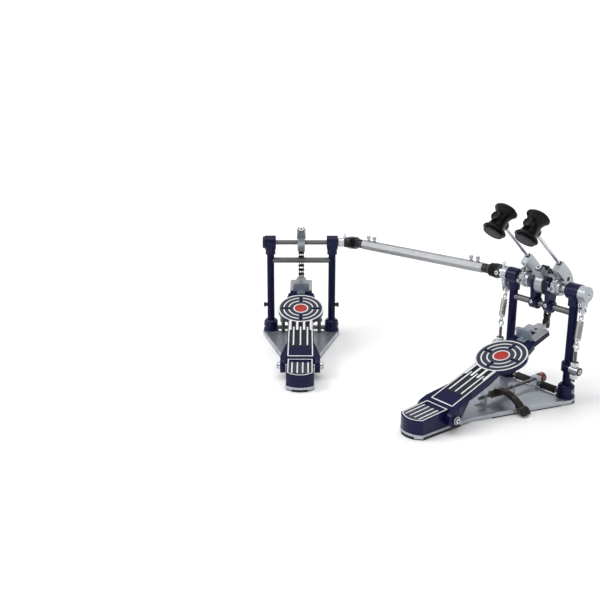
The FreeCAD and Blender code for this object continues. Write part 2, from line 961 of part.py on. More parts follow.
def bars(name, frame):
    upper_end = bar_x(S.post_diameter)
    lower_end = bar_x(S.socket_diameter)
    upper_at = (0, crossbar_height)
    lower_at = (0, S.lower_bar_height)
    upper_radius = S.crossbar_diameter / 2
    lower_radius = S.lower_bar_diameter / 2
    upper = cylinder(name + "_upper", upper_radius, "X", -upper_end, upper_end, upper_at)
    lower = cylinder(name + "_lower", lower_radius, "X", -lower_end, lower_end, lower_at)
    return standing(name, [upper, lower], frame)


def bar_sleeves(name):
    half = S.sleeve_length / 2
    bore = S.lower_bar_diameter / 2 + S.seat_clearance
    pair = []
    for sign in (-1, 1):
        x = S.sleeve_offset * sign
        at = (0, S.lower_bar_height)
        pair.append(tube(name + "_sleeve", S.sleeve_diameter / 2, bore, "X", x - half, x + half, at))
    node(name, pair, PRIMARY)


# Centre brackets on the primary's crossbar


def bracket_ends(sign):
    centre = S.bracket_offset * sign
    return centre - S.bracket_thickness / 2, centre + S.bracket_thickness / 2


def center_brackets(name):
    eye = S.bracket_eye_diameter / 2
    foot = S.bracket_foot_diameter / 2
    axle_at = (0, S.axle_height)
    bar_at = (0, crossbar_height)
    bar_bore = S.crossbar_diameter / 2 + S.seat_clearance
    bearing_seat = S.bearing_diameter / 2 + S.seat_clearance
    pair = []
    for sign in (-1, 1):
        ends = bracket_ends(sign)
        centre = S.bracket_offset * sign
        foot_ends = (centre - S.bracket_foot_width / 2, centre + S.bracket_foot_width / 2)
        ring = cylinder(name + "_eye", eye, "X", *ends, axle_at)
        rise = (crossbar_height, crossbar_height + S.bracket_foot_rise)
        web_outline = [
            (-foot, rise[1]),
            (foot, rise[1]),
            (eye, S.axle_height),
            (-eye, S.axle_height),
        ]
        web = prism(name + "_web", "YZ", web_outline, *ends)
        clamp = cylinder(name + "_foot", foot, "X", *foot_ends, bar_at)
        shoulder = box(name + "_shoulder", foot_ends, (-foot, foot), rise)
        bar = cylinder(name + "_bar_bore", bar_bore, "X", *foot_ends, bar_at)
        seat = cylinder(name + "_bearing_seat", bearing_seat, "X", *ends, axle_at)
        body = fuse(name + "_body", ring, web, clamp, shoulder)
        pair.append(cut(name + "_bracket", body, bar, seat))
    node(name, pair, PRIMARY)


def bracket_bearings(name):
    rings = []
    for sign in (-1, 1):
        ends = bracket_ends(sign)
        at = (0, S.axle_height)
        rings.append(tube(name + "_ring", S.bearing_diameter / 2, bearing_bore, "X", *ends, at))
    return standing(name, rings, PRIMARY)


def bracket_screws(name):
    """Screws on the front of each bracket, above its foot."""
    front = -S.bracket_foot_diameter / 2
    heads = []
    for sign in (-1, 1):
        at = (S.bracket_offset * sign, crossbar_height + S.bracket_foot_rise / 2)
        radius = S.screw_head_diameter / 2
        heads.append(cylinder(name + "_head", radius, "Y", front - S.screw_head_height, front, at))
    return standing(name, heads, PRIMARY)


# Footboards, drawn with the hinge axis at the origin and Y along the board


def board_slope():
    """The board's slope, from the line through the hinge and the chain's toe pin."""
    rise = arctangent(toe_pin_z - S.hinge_height, toe_pin_y + S.hinge_back)
    return rise - S.toe_pin_angle


def board_group(name, items):
    """Pieces of the footboard, tilted about the hinge axis."""
    return group(name, items, (0, -S.hinge_back, S.hinge_height), (1, 0, 0), board_slope())


def board_lug(name, sign):
    inner = S.lug_inner
    outer = S.lug_inner + S.lug_width
    radius = S.lug_diameter / 2
    low, high = (inner * sign, outer * sign) if sign > 0 else (outer * sign, inner * sign)
    eye = cylinder(name + "_eye", radius, "X", low, high, (0, 0))
    root = S.board_waist_half_width - S.skirt_thickness
    clear = S.heel_boss_diameter / 2 + S.heel_gap
    plan = [
        (inner * sign, 0),
        (outer * sign, 0),
        (outer * sign, radius),
        (S.board_waist_half_width * sign, S.lug_reach),
        (root * sign, S.lug_reach),
        (root * sign, clear),
        (inner * sign, clear),
    ]
    sweep = prism(name + "_plan", "XY", plan, -radius, S.board_top)
    side = [
        (0, -radius),
        (radius, -radius / 2),
        (S.lug_reach, deck_bottom),
        (S.lug_reach, S.board_top),
        (0, S.board_top),
    ]
    wide = outer * 2
    profile = prism(name + "_side", "YZ", side, -wide, wide)
    return fuse(name, eye, common(name + "_sweep", sweep, profile))


def board_deck(name):
    rear = S.board_rear_half_width
    waist = S.board_waist_half_width
    clear = S.heel_boss_diameter / 2 + S.heel_gap
    plan = [
        (-rear, S.board_start),
        (rear, S.board_start),
        (waist, S.board_waist),
        (waist, S.disc_centre),
        (-waist, S.disc_centre),
        (-waist, S.board_waist),
    ]
    deck = prism(name + "_deck", "XY", plan, deck_bottom, S.board_top)
    skirts = []
    skirt_bottom = S.board_top - S.skirt_depth
    for sign in (-1, 1):
        inner = (waist - S.skirt_thickness) * sign
        outer = waist * sign
        low, high = (inner, outer) if sign > 0 else (outer, inner)
        side = [
            (clear, deck_bottom),
            (S.lug_reach, skirt_bottom),
            (S.board_waist, skirt_bottom),
            (S.disc_centre, deck_bottom),
        ]
        skirts.append(prism(name + "_skirt", "YZ", side, low, high))
    disc_bottom = S.board_top - S.disc_thickness
    disc_at = (0, S.disc_centre)
    disc = cylinder(name + "_disc", S.disc_diameter / 2, "Z", disc_bottom, S.board_top, disc_at)
    neck_half = S.neck_half_width
    tip_half = S.neck_tip_half_width
    neck_plan = [
        (-neck_half, S.disc_centre),
        (neck_half, S.disc_centre),
        (neck_half, S.neck_shoulder),
        (S.neck_waist_half_width, S.neck_waist),
        (tip_half, S.neck_waist + S.neck_step),
        (tip_half, S.neck_end),
        (-tip_half, S.neck_end),
        (-tip_half, S.neck_waist + S.neck_step),
        (-S.neck_waist_half_width, S.neck_waist),
        (-neck_half, S.neck_shoulder),
    ]
    neck = prism(name + "_neck", "XY", neck_plan, S.board_top - S.neck_thickness, toe_bottom)
    return [deck, *skirts, disc, neck]


def ring(name, diameter, width):
    """A raised ring on the disc."""
    low = S.board_top
    high = S.board_top + S.tread_height
    outer = diameter / 2
    return tube(name, outer, outer - width, "Z", low, high, (0, S.disc_centre))


def split_ring(name, diameter):
    """A raised ring in four arcs, with gaps along and across the board."""
    half_gap = S.ring_gap / 2
    reach = S.disc_diameter
    z = (S.board_top, S.board_top + S.tread_height)
    near = S.disc_centre - reach
    far = S.disc_centre + reach
    along = box(name + "_along", (-half_gap, half_gap), (near, far), z)
    middle = (S.disc_centre - half_gap, S.disc_centre + half_gap)
    across = box(name + "_across", (-reach, reach), middle, z)
    return cut(name, ring(name + "_whole", diameter, S.ring_width), along, across)


def board_tread(name):
    """Raised border, long lines, short bars and target rings."""
    z = (S.board_top, S.board_top + S.tread_height)
    disc_rear = S.disc_centre - S.disc_diameter / 2
    start = S.tread_start
    rear = S.board_rear_half_width - S.tread_edge
    waist = S.board_waist_half_width - S.tread_edge
    outer = [(-rear, start), (rear, start), (waist, S.disc_centre), (-waist, S.disc_centre)]
    field_start = start + S.tread_border
    rear_in = rear - S.tread_border
    waist_in = waist - S.tread_border
    inner = [
        (-rear_in, field_start),
        (rear_in, field_start),
        (waist_in, S.disc_centre),
        (-waist_in, S.disc_centre),
    ]
    rim = prism(name + "_rim", "XY", outer, *z)
    field = prism(name + "_field", "XY", inner, *z)
    disc = cylinder(name + "_target", S.disc_diameter / 2, "Z", *z, (0, S.disc_centre))
    half_line = S.tread_line / 2
    half_bar = S.board_bar_width / 2
    lines = [cut(name + "_border", rim, field, disc)]
    for place in (-1, 0, 1):
        x = S.board_line_spacing * place
        y = (S.board_line_start, S.board_line_end)
        lines.append(box(name + "_line", (x - half_line, x + half_line), y, z))
    for place in (-1.5, -0.5, 0.5, 1.5):
        x = S.board_line_spacing * place
        bar = box(
            name + "_long_bar", (x - half_bar, x + half_bar), (S.board_bar_start, S.disc_centre), z
        )
        lines.append(cut(name + "_bar", bar, disc))
    rings = [
        ring(name + "_disc_rim", S.disc_diameter, S.disc_rim),
        split_ring(name + "_outer_ring", S.outer_ring_diameter),
        split_ring(name + "_inner_ring", S.inner_ring_diameter),
        ring(name + "_centre_ring", S.centre_ring_diameter, S.ring_width),
    ]
    return lines + rings


def footboard(name, frame):
    lugs = [board_lug(name + "_lug", sign) for sign in (-1, 1)]
    solid = fuse(name + "_casting", *board_deck(name), *lugs, *board_tread(name + "_tread"))
    wide = (S.lug_inner + S.lug_width) * 2
    bore_radius = S.pivot_diameter / 2 + S.running_clearance
    bore = cylinder(name + "_bore", bore_radius, "X", -wide, wide, (0, 0))
    _, holes = toe_screws(name + "_screw")
    casting = cut(name + "_drilled", solid, bore, *holes)
    node(name, [board_group(name + "_tilted", [casting])], frame)


# Toe plate, toe stop and their screws, in the footboard's frame


def chain_bottom():
    """The chain's toe pin, from the hinge axis along the board and square to it."""
    y = toe_pin_y + S.hinge_back
    z = toe_pin_z - S.hinge_height
    reach = hypotenuse(y, z)
    return reach * cosine(S.toe_pin_angle), reach * sine(S.toe_pin_angle)


def toe_screws(name):
    """The stop's screw from above and the toe plate's two from below, and their holes."""
    neck_bottom = S.board_top - S.neck_thickness
    head_radius = S.screw_head_diameter / 2
    stem_radius = S.key_stem_diameter / 2
    side = S.neck_tip_half_width - S.screw_head_diameter
    under = neck_bottom - S.screw_head_height
    blind = S.board_top - S.toe_screw_cover
    over = toe_bottom + S.stop_thickness
    top = over + S.screw_head_height
    places = [
        ((-side, S.neck_end - S.screw_head_diameter), (neck_bottom, blind), (under, neck_bottom)),
        ((side, S.neck_end - S.screw_head_diameter), (neck_bottom, blind), (under, neck_bottom)),
        ((0, S.stop_start - S.stop_foot_length / 2), (neck_bottom, over), (over, top)),
    ]
    screws = []
    holes = []
    for at, stem_z, head_z in places:
        head = cylinder(name + "_head", head_radius, "Z", *head_z, at)
        stem = cylinder(name + "_stem", stem_radius, "Z", *stem_z, at)
        screws.append(fuse(name, head, stem))
        hole_radius = stem_radius + S.seat_clearance
        holes.append(cylinder(name + "_hole", hole_radius, "Z", *stem_z, at))
    return screws, holes


def toe_plate(name, frame):
    """A plate on the neck, with a tongue whose slotted eye holds the chain's toe pin."""
    half = S.neck_tip_half_width - S.toe_inset
    along, above = chain_bottom()
    tip = along - S.toe_tip_setback
    plate_start = S.stop_start + S.stop_thickness + S.seat_clearance
    plan = [
        (-half, plate_start),
        (half, plate_start),
        (half, S.neck_end),
        (S.toe_root_half_width, S.neck_end),
        (S.toe_tip_half_width, tip),
        (-S.toe_tip_half_width, tip),
        (-S.toe_root_half_width, S.neck_end),
        (-half, S.neck_end),
    ]
    sheet_metal = prism(name + "_sheet", "XY", plan, toe_bottom, S.board_top)
    pin = S.chain_pin_diameter / 2
    near = along - pin - S.chain_pin_gap
    far = along + pin + S.toe_slot_slide
    low = above - pin - S.toe_slot_drop
    high = above + pin + S.chain_pin_gap
    wall = S.toe_eye_wall
    web_start = S.neck_end + S.moving_gap
    side = [
        (web_start, S.board_top),
        (web_start, toe_bottom - S.toe_thickness),
        (near - wall, low - wall),
        (far + wall, low - wall),
        (far + wall, high + wall),
        (near - wall, high + wall),
        (tip, S.board_top),
    ]
    tongue = chain_outer - S.chain_plate - S.moving_gap
    web = prism(name + "_web", "YZ", side, -tongue, tongue)
    slot = box(name + "_slot", (-tongue, tongue), (near, far), (low, high))
    window_half = S.toe_window_half_width
    hole_half = S.toe_hole_half_width
    sheet_z = (toe_bottom, S.board_top)
    window_y = (S.toe_window_start, S.toe_window_end)
    window = box(name + "_window", (-window_half, window_half), window_y, sheet_z)
    hole_y = (S.toe_hole_start, S.toe_hole_end)
    hole = box(name + "_hole", (-hole_half, hole_half), hole_y, sheet_z)
    _, screw_holes = toe_screws(name + "_screw")
    joined = fuse(name + "_joined", sheet_metal, web)
    plate = cut(name + "_finished", joined, slot, window, hole, *screw_holes)
    node(name, [board_group(name + "_tilted", [plate])], frame)


def toe_stop(name, frame):
    half = S.stop_width / 2
    top = S.board_top + S.stop_height
    corner = S.stop_height / 2
    face = [
        (-half, toe_bottom),
        (half, toe_bottom),
        (half, top - corner),
        (half - corner, top, corner),
        (corner - half, top),
        (-half, top - corner, corner),
    ]
    stop_end = S.stop_start + S.stop_thickness
    upright = prism(name + "_upright", "XZ", face, S.stop_start, stop_end)
    foot_half = S.stop_foot_width / 2
    foot = box(
        name + "_foot",
        (-foot_half, foot_half),
        (S.stop_start - S.stop_foot_length, stop_end),
        (toe_bottom, toe_bottom + S.stop_thickness),
    )
    screws, holes = toe_screws(name + "_screw")
    bracket = cut(name + "_drilled", fuse(name + "_bent", upright, foot), *holes)
    node(name, [board_group(name + "_tilted", [bracket, *screws])], frame)


# Chain: inner links with bushes and outer links with pins, one pitch along +Z from the origin


def link_plates(name, inner_face):
    radius = S.chain_plate_height / 2
    plates = []
    for sign in (-1, 1):
        near = inner_face * sign
        far = (inner_face + S.chain_plate) * sign
        low, high = (near, far) if sign > 0 else (far, near)
        plates.append(box(name + "_side", (low, high), (-radius, radius), (0, S.chain_pitch)))
        for z in (as_size(0), S.chain_pitch):
            plates.append(cylinder(name + "_end", radius, "X", low, high, (0, z)))
    return plates


def inner_link(name):
    face = S.chain_inner_width / 2
    width = face + S.chain_plate
    rollers = []
    bores = []
    for z in (as_size(0), S.chain_pitch):
        rollers.append(
            cylinder(name + "_roller", S.chain_roller_diameter / 2, "X", -face, face, (0, z))
        )
        bore_radius = S.chain_pin_diameter / 2 + S.chain_pin_gap
        bores.append(cylinder(name + "_bore", bore_radius, "X", -width, width, (0, z)))
    return cut(name, fuse(name + "_solid", *link_plates(name, face), *rollers), *bores)


def outer_link(name, far_half):
    """An outer link whose far pin has the given half length."""
    face = S.chain_inner_width / 2 + S.chain_plate + S.chain_side_gap
    pins = []
    for z, half in ((as_size(0), short_pin), (S.chain_pitch, far_half)):
        pins.append(cylinder(name + "_pin", S.chain_pin_diameter / 2, "X", -half, half, (0, z)))
    return fuse(name, *link_plates(name, face), *pins)


# The chain leaves the cam at half the beater's travel above the axle on the drum side
run_top_y = chain_radius * cosine(half_travel)
run_top_z = S.axle_height + chain_radius * sine(half_travel)
run_length = S.chain_pitch * S.chain_links
# It leans so that the toe pin stays within the toe plate's slot over the whole travel
run_lean = S.chain_lean
toe_pin_y = run_top_y - run_length * sine(run_lean)
toe_pin_z = run_top_z - run_length * cosine(run_lean)
short_pin = chain_outer + S.chain_plate / 2
cheek_inner = S.cam_lug_width / 2 - S.cam_cheek
lug_pin_half = S.cam_lug_width / 2 - S.moving_gap


def chain_run(name, frame):
    """The hanging links, from the toe pin up to the cam."""
    count = round(S.chain_links.value)
    links = []
    for i in range(count):
        if i % 2 == 0:
            link = outer_link(f"{name}_outer_{i}", short_pin)
        else:
            link = inner_link(f"{name}_inner_{i}")
        links.append(group(f"{name}_link_{i}", [link], (0, 0, S.chain_pitch * i)))
    at = (0, toe_pin_y, toe_pin_z)
    node(name, [group(name + "_hung", links, at, (1, 0, 0), -run_lean)], frame)


def chain_wrap(name, frame):
    """The links that lie on the cam, from the run's top pin to the cam's lug."""
    count = round(S.wrap_links.value)
    links = []
    for i in range(count):
        if i % 2 == 0:
            far = lug_pin_half if i == count - 1 else short_pin
            link = outer_link(f"{name}_outer_{i}", far)
        else:
            link = inner_link(f"{name}_inner_{i}")
        start = half_travel + link_angle * i
        at = (0, chain_radius * cosine(start), S.axle_height + chain_radius * sine(start))
        links.append(group(f"{name}_link_{i}", [link], at, (1, 0, 0), start + link_angle / 2))
    node(name, links, frame)


def cam(name, frame):
    """A cam, flat beside the hanging chain, with a leaned lug that holds the chain's last pin."""
    half = S.cam_width / 2
    drum = cylinder(name + "_drum", S.cam_radius, "X", -half, half, (0, 0))
    lug_half = S.cam_lug_width / 2
    depth = S.cam_lug_depth / 2
    lug = box(name + "_lug", (-half, half), (-depth, depth), (0, S.cam_lug_top))
    turn = S.cam_lug_lean - half_travel - link_angle * S.wrap_links + 90
    pin_y = chain_radius * sine(turn)
    pin_z = chain_radius * cosine(turn)
    link_end = S.chain_plate_height / 2
    cheeks = []
    for sign in (-1, 1):
        inner = cheek_inner * sign
        outer = lug_half * sign
        low, high = (inner, outer) if sign > 0 else (outer, inner)
        cheek_y = (-depth, pin_y + link_end)
        cheek_z = (pin_z - link_end, pin_z + link_end)
        cheeks.append(box(name + "_cheek", (low, high), cheek_y, cheek_z))
    pin_radius = S.chain_pin_diameter / 2 + S.chain_pin_gap
    pin_hole = cylinder(name + "_pin_hole", pin_radius, "X", -lug_half, lug_half, (pin_y, pin_z))
    bore = cylinder(name + "_bore", axle_bore, "X", -lug_half, lug_half, (0, 0))
    hole_radius = S.key_stem_diameter / 2 + S.seat_clearance
    bolt_low = S.cam_lug_top - S.key_stem_length
    hole = cylinder(name + "_bolt_hole", hole_radius, "Z", bolt_low, S.cam_lug_top, (0, 0))
    stem = cylinder(
        name + "_bolt_stem", S.key_stem_diameter / 2, "Z", bolt_low, S.cam_lug_top, (0, 0)
    )
    head_top = S.cam_lug_top + S.screw_head_height
    head_radius = S.cam_bolt_diameter / 2
    head = cylinder(name + "_bolt_head", head_radius, "Z", S.cam_lug_top, head_top, (0, 0))
    joined = fuse(name + "_joined", drum, lug, *cheeks)
    drilled = cut(name + "_finished", joined, bore, pin_hole, hole)
    pieces = [drilled, fuse(name + "_bolt", head, stem)]
    at = (0, 0, S.axle_height)
    leaned = group(name + "_leaned", pieces, at, (1, 0, 0), S.cam_lug_lean)
    chain_side = (-link_end - S.moving_gap, S.cam_radius)
    beside = box(name + "_beside_chain", (-lug_half, lug_half), chain_side, (0, run_length))
    chain_at = (0, toe_pin_y, toe_pin_z)
    chain_space = group(name + "_chain_space", [beside], chain_at, (1, 0, 0), -run_lean)
    node(name, [cut(name + "_flattened", leaned, chain_space)], frame)


# Axles, beaters, rockers


def axle(name, low, high, spacers, frame):
    at = (0, S.axle_height)
    shaft = cylinder(name + "_shaft", axle_radius, "X", low, high, at)
    pieces = [shaft]
    for inner, outer in spacers:
        pieces.append(cylinder(name + "_spacer", S.spacer_diameter / 2, "X", inner, outer, at))
    solid = fuse(name + "_solid", *pieces) if len(pieces) > 1 else shaft
    node(name, [solid], frame)


def beater_group(name, items):
    """Pieces drawn from the axle with the beater rod upright, leaned back."""
    return group(name, items, (0, 0, S.axle_height), (1, 0, 0), S.beater_lean)


def beater(side, sign):
    """Arm, rod, head and screws of one beater."""
    x = S.beater_offset * sign
    beater_arm(side, x)
    name = side + "_beater_rod"
    rod_end = S.beater_reach + S.head_boss_length / 4
    rod_at = (x, S.rod_offset)
    rod = cylinder(name + "_bar", S.rod_diameter / 2, "Z", S.rod_start, rod_end, rod_at)
    node(name, [beater_group(name + "_leaned", [rod])], PRIMARY)
    beater_head(side + "_beater_head", x, rod_end)


def clamp_screws(name, x):
    """The clamp hub's two screws, on its front and top flats, and their holes."""
    at = (0, 0, S.axle_height)
    screws = []
    holes = []
    for angle in (30, 90):
        screw, hole = key_screw(name, S.clamp_across_flats / 2, (x - S.clamp_hub_offset, 0))
        screws.append(group(name + "_turned", [screw], at, (1, 0, 0), angle))
        holes.append(group(name + "_hole_turned", [hole], at, (1, 0, 0), angle))
    return screws, holes


def beater_arm(side, x):
    """A broad arm with a six-sided clamp hub on the axle; the rod enters its top face."""
    name = side + "_beater_arm"
    half = S.arm_width / 2
    eye_radius = S.arm_eye_diameter / 2
    outline = [
        (0, -eye_radius),
        (S.arm_tail, -S.arm_tail_drop),
        (S.arm_back, S.arm_shoulder, S.arm_back_radius),
        (S.arm_back, S.arm_top),
        (S.arm_front, S.arm_top),
        (S.arm_front, 0),
        (0, 0),
    ]
    ends = (x - half, x + half)
    plate = prism(name + "_plate", "YZ", outline, *ends)
    eye = cylinder(name + "_eye", eye_radius, "X", *ends, (0, 0))
    rod_hole = cylinder(
        name + "_rod_hole",
        S.rod_diameter / 2 + S.seat_clearance,
        "Z",
        S.rod_start,
        S.arm_top,
        (x, S.rod_offset),
    )
    recess_ends = (x + half - S.arm_hole_depth, x + half)
    recess_radius = S.arm_hole_diameter / 2
    recess = cylinder(name + "_recess", recess_radius, "X", *recess_ends, (S.arm_hole_offset, 0))
    leaned = cut(name + "_plate_drilled", fuse(name + "_sheet", plate, eye), rod_hole, recess)
    hub_x = x - S.clamp_hub_offset
    half_hub = S.clamp_hub_width / 2
    hub_ends = (hub_x - half_hub, hub_x + half_hub)
    hub = prism(name + "_hub", "YZ", hexagon(S.clamp_across_flats), *hub_ends)
    at = (0, 0, S.axle_height)
    hub_placed = group(name + "_hub_placed", [hub], at)
    bore = cylinder(name + "_bore", axle_bore, "X", hub_ends[0], ends[1], (0, S.axle_height))
    screws, holes = clamp_screws(side + "_clamp_screw", x)
    solid = fuse(name + "_solid", beater_group(name + "_leaned", [leaned]), hub_placed)
    node(name, [cut(name + "_finished", solid, bore, *holes)], PRIMARY)
    node(side + "_axle_screws", screws, PRIMARY)


def beater_head(name, x, rod_end):
    """A flared spool square to the rod, with a face disc at each end and a boss along the rod."""
    half = S.head_length / 2
    radius = S.head_diameter / 2
    edge = S.head_edge
    rim = half - S.head_rim
    waist = S.head_waist_diameter / 2
    flare = S.head_flare_radius
    face = S.head_face_diameter / 2
    face_end = half + S.head_face_height
    outline = [
        (0, -face_end),
        (face, -face_end),
        (face, -half),
        (radius - edge, -half),
        (radius, edge - half, edge),
        (radius, -rim),
        (waist, 0, -flare),
        (radius, rim, -flare),
        (radius, half - edge),
        (radius - edge, half, edge),
        (face, half),
        (face, face_end),
        (0, face_end),
    ]
    spool = turned(name + "_spool", outline)
    across = group(name + "_turned", [spool], (x, S.rod_offset, S.beater_reach), (1, 0, 0), -90)
    boss_half = S.head_boss_length / 2
    low = S.beater_reach - boss_half
    high = S.beater_reach + boss_half
    rod_at = (x, S.rod_offset)
    boss = cylinder(name + "_boss", S.head_boss_diameter / 2, "Z", low, high, rod_at)
    bore_radius = S.rod_diameter / 2 + S.seat_clearance
    bore = cylinder(name + "_bore", bore_radius, "Z", low, rod_end, rod_at)
    head = cut(name + "_finished", fuse(name + "_solid", across, boss), bore)
    node(name, [beater_group(name + "_leaned", [head])], PRIMARY)


def rocker(side, sign):
    """A hub with a forked arm that carries the spring's swivel link."""
    name = side + "_rocker"
    low, high = S.rocker_start, S.rocker_start + S.rocker_width
    ends = (low, high) if sign > 0 else (-high, -low)
    at = (0, S.axle_height)
    hub = cylinder(name + "_hub", S.rocker_diameter / 2, "X", *ends, at)
    x = S.spring_offset * sign
    half = S.rocker_arm_width / 2
    eye_radius = S.rocker_eye_diameter / 2
    eye_z = S.axle_height - S.rocker_reach
    arm_ends = (x - half, x + half)
    outline = [
        (-eye_radius, eye_z),
        (eye_radius, eye_z),
        (S.rocker_diameter / 2, S.axle_height),
        (-S.rocker_diameter / 2, S.axle_height),
    ]
    arm = prism(name + "_arm", "YZ", outline, *arm_ends)
    eye = cylinder(name + "_eye", eye_radius, "X", *arm_ends, (0, eye_z))
    slot_half = S.link_thickness / 2 + S.moving_gap
    slot = box(
        name + "_slot",
        (x - slot_half, x + slot_half),
        (-S.rocker_diameter, S.rocker_diameter),
        (eye_z - S.rocker_diameter, eye_z + eye_radius),
    )
    bore = cylinder(name + "_bore", axle_bore, "X", *ends, at)
    body = cut(name + "_slotted", fuse(name + "_solid", hub, arm, eye), slot, bore)
    pin = cylinder(name + "_pin", S.rocker_pin_diameter / 2, "X", *arm_ends, (0, eye_z))
    node(name, [fuse(name + "_finished", body, pin)], PRIMARY)


# Springs, drawn hanging along -Z from the rocker's pin

eye_bar_z = eye_height + S.eyebolt_eye_radius
spring_drop = S.axle_height - S.rocker_reach - eye_bar_z
spring_lean = arctangent(S.eyebolt_back, spring_drop)
spring_span = hypotenuse(S.eyebolt_back, spring_drop)
wire_radius = S.spring_wire / 2
POINTS_PER_TURN = 24


def spring_group(name, items, sign):
    """Pieces hung on the rocker's pin, leaned so that the lower hook meets the eyebolt."""
    at = (S.spring_offset * sign, 0, S.axle_height - S.rocker_reach)
    return group(name, items, at, (1, 0, 0), -spring_lean)


def spring_hook(side, sign):
    """The flat swivel link between the rocker's pin and the spring."""
    name = side + "_spring_hook"
    half = S.link_thickness / 2
    radius = S.link_eye_diameter / 2
    low = -S.link_length
    plate = box(name + "_plate", (-half, half), (-radius, radius), (low, 0))
    eyes = [cylinder(name + "_eye", radius, "X", -half, half, (0, z)) for z in (as_size(0), low)]
    pin_radius = S.rocker_pin_diameter / 2 + S.running_clearance
    pin_hole = cylinder(name + "_pin_hole", pin_radius, "X", -half, half, (0, 0))
    wire_hole_radius = wire_radius + S.moving_gap
    wire_hole = cylinder(name + "_wire_hole", wire_hole_radius, "X", -half, half, (0, low))
    link = cut(name + "_link", fuse(name + "_solid", plate, *eyes), pin_hole, wire_hole)
    node(name, [spring_group(name + "_hung", [link], sign)], PRIMARY)


def arc_edges(start, start_way, end, end_way):
    """Two arcs that leave start and reach end along the given directions."""
    across = end - start
    total = start_way + end_way
    bend = 2 * (1 - start_way.dot(end_way))
    along = across.dot(total)
    length = (math.sqrt(along**2 + bend * across.dot(across)) - along) / bend
    first = start + start_way * length
    second = end - end_way * length
    middle = (first + second) / 2
    edges = []
    for low, corner, high in ((start, first, middle), (middle, second, end)):
        weight = (high - low).Length / 2 / length
        top = (low + corner * (2 * weight) + high) / (2 * (1 + weight))
        edges.append(Part.Arc(low, top, high).toShape())
    return edges


def coil_point(turn, top, radius):
    """A point of the coil and its direction, turn counted from the top."""
    angle = 2 * math.pi * turn
    pitch = S.spring_pitch.value
    place = Vector(radius * math.cos(angle), radius * math.sin(angle), top - pitch * turn)
    way = Vector(-radius * math.sin(angle), radius * math.cos(angle), -pitch / (2 * math.pi))
    return place, way.normalize()


def hook_points(centre_z, sweep, in_xz):
    """Three points of a hook's arc from its straight side, in the XZ or YZ plane."""
    radius = S.hook_radius.value
    points = []
    for share in (0, 0.5, 1):
        angle = math.pi + sweep * share
        across = radius * math.cos(angle)
        up = centre_z + radius * math.sin(angle)
        points.append(Vector(across, 0, up) if in_xz else Vector(0, across, up))
    return points


def spring_path():
    """The spring's wire: top hook, coil and lower hook, and points along its coil."""
    hook = S.hook_radius.value
    wire = S.spring_wire.value
    coil_radius = (S.spring_diameter.value - wire) / 2
    curls = round(S.spring_curls.value)
    top_hook_z = -S.link_length.value - hook
    bar_clear = S.eyebolt_wire.value / 2 + wire / 2 + S.moving_gap.value / 2
    low_hook_z = hook - spring_span.value - bar_clear
    coil_height = S.spring_pitch.value * curls
    coil_top = (top_hook_z + low_hook_z + coil_height) / 2
    lead = S.spring_lead.value
    down = Vector(0, 0, -1)
    sweep = 3 * math.pi / 2
    top_hook = hook_points(top_hook_z, -sweep, True)
    low_hook = hook_points(low_hook_z, sweep, False)
    top_lead = Vector(-hook, 0, coil_top + lead)
    low_lead = Vector(0, -hook, coil_top - coil_height - lead)
    edges = [Part.Arc(*reversed(top_hook)).toShape()]
    edges.append(Part.LineSegment(top_hook[0], top_lead).toShape())
    edges.extend(arc_edges(top_lead, down, *coil_point(0, coil_top, coil_radius)))
    for i in range(2 * curls):
        start = coil_point(i / 2, coil_top, coil_radius)
        end = coil_point((i + 1) / 2, coil_top, coil_radius)
        edges.extend(arc_edges(*start, *end))
    edges.extend(arc_edges(*coil_point(curls, coil_top, coil_radius), low_lead, down))
    edges.append(Part.LineSegment(low_lead, low_hook[0]).toShape())
    edges.append(Part.Arc(*low_hook).toShape())
    points = []
    for i in range(curls * POINTS_PER_TURN + 1):
        points.append(coil_point(i / POINTS_PER_TURN, coil_top, coil_radius)[0])
    return edges, points


def least_gap(points, wire):
    """The least free gap between turns of a wire, on points two thirds of a turn or more apart."""
    least = math.inf
    for i, first in enumerate(points):
        for second in points[i + POINTS_PER_TURN * 2 // 3 :]:
            least = min(least, first.distanceToPoint(second) - wire)
    return least


def spring(side, sign):
    """One unbroken wire with its curls and a hook at each end."""
    name = side + "_spring"
    edges, points = spring_path()
    path = Part.Wire(edges)
    first = path.OrderedEdges[0]
    start = first.valueAt(first.FirstParameter)
    way = first.tangentAt(first.FirstParameter)
    profile = Part.Wire([Part.makeCircle(S.spring_wire.value / 2, start, way)])
    shell = Part.BRepOffsetAPI.MakePipeShell(path)
    shell.add(profile)
    shell.build()
    shell.makeSolid()
    solid = shell.shape()
    item = doc.addObject("Part::Feature", name + "_wire")
    item.Shape = solid
    gap = least_gap(points, S.spring_wire.value)
    section = math.pi * (S.spring_wire.value / 2) ** 2
    print(f"{name}: least gap {gap:.2f} mm, volume over section times length", end=" ")
    print(f"{solid.Volume / (section * path.Length):.4f}")
    node(name, [spring_group(name + "_hung", [item], sign)], PRIMARY)


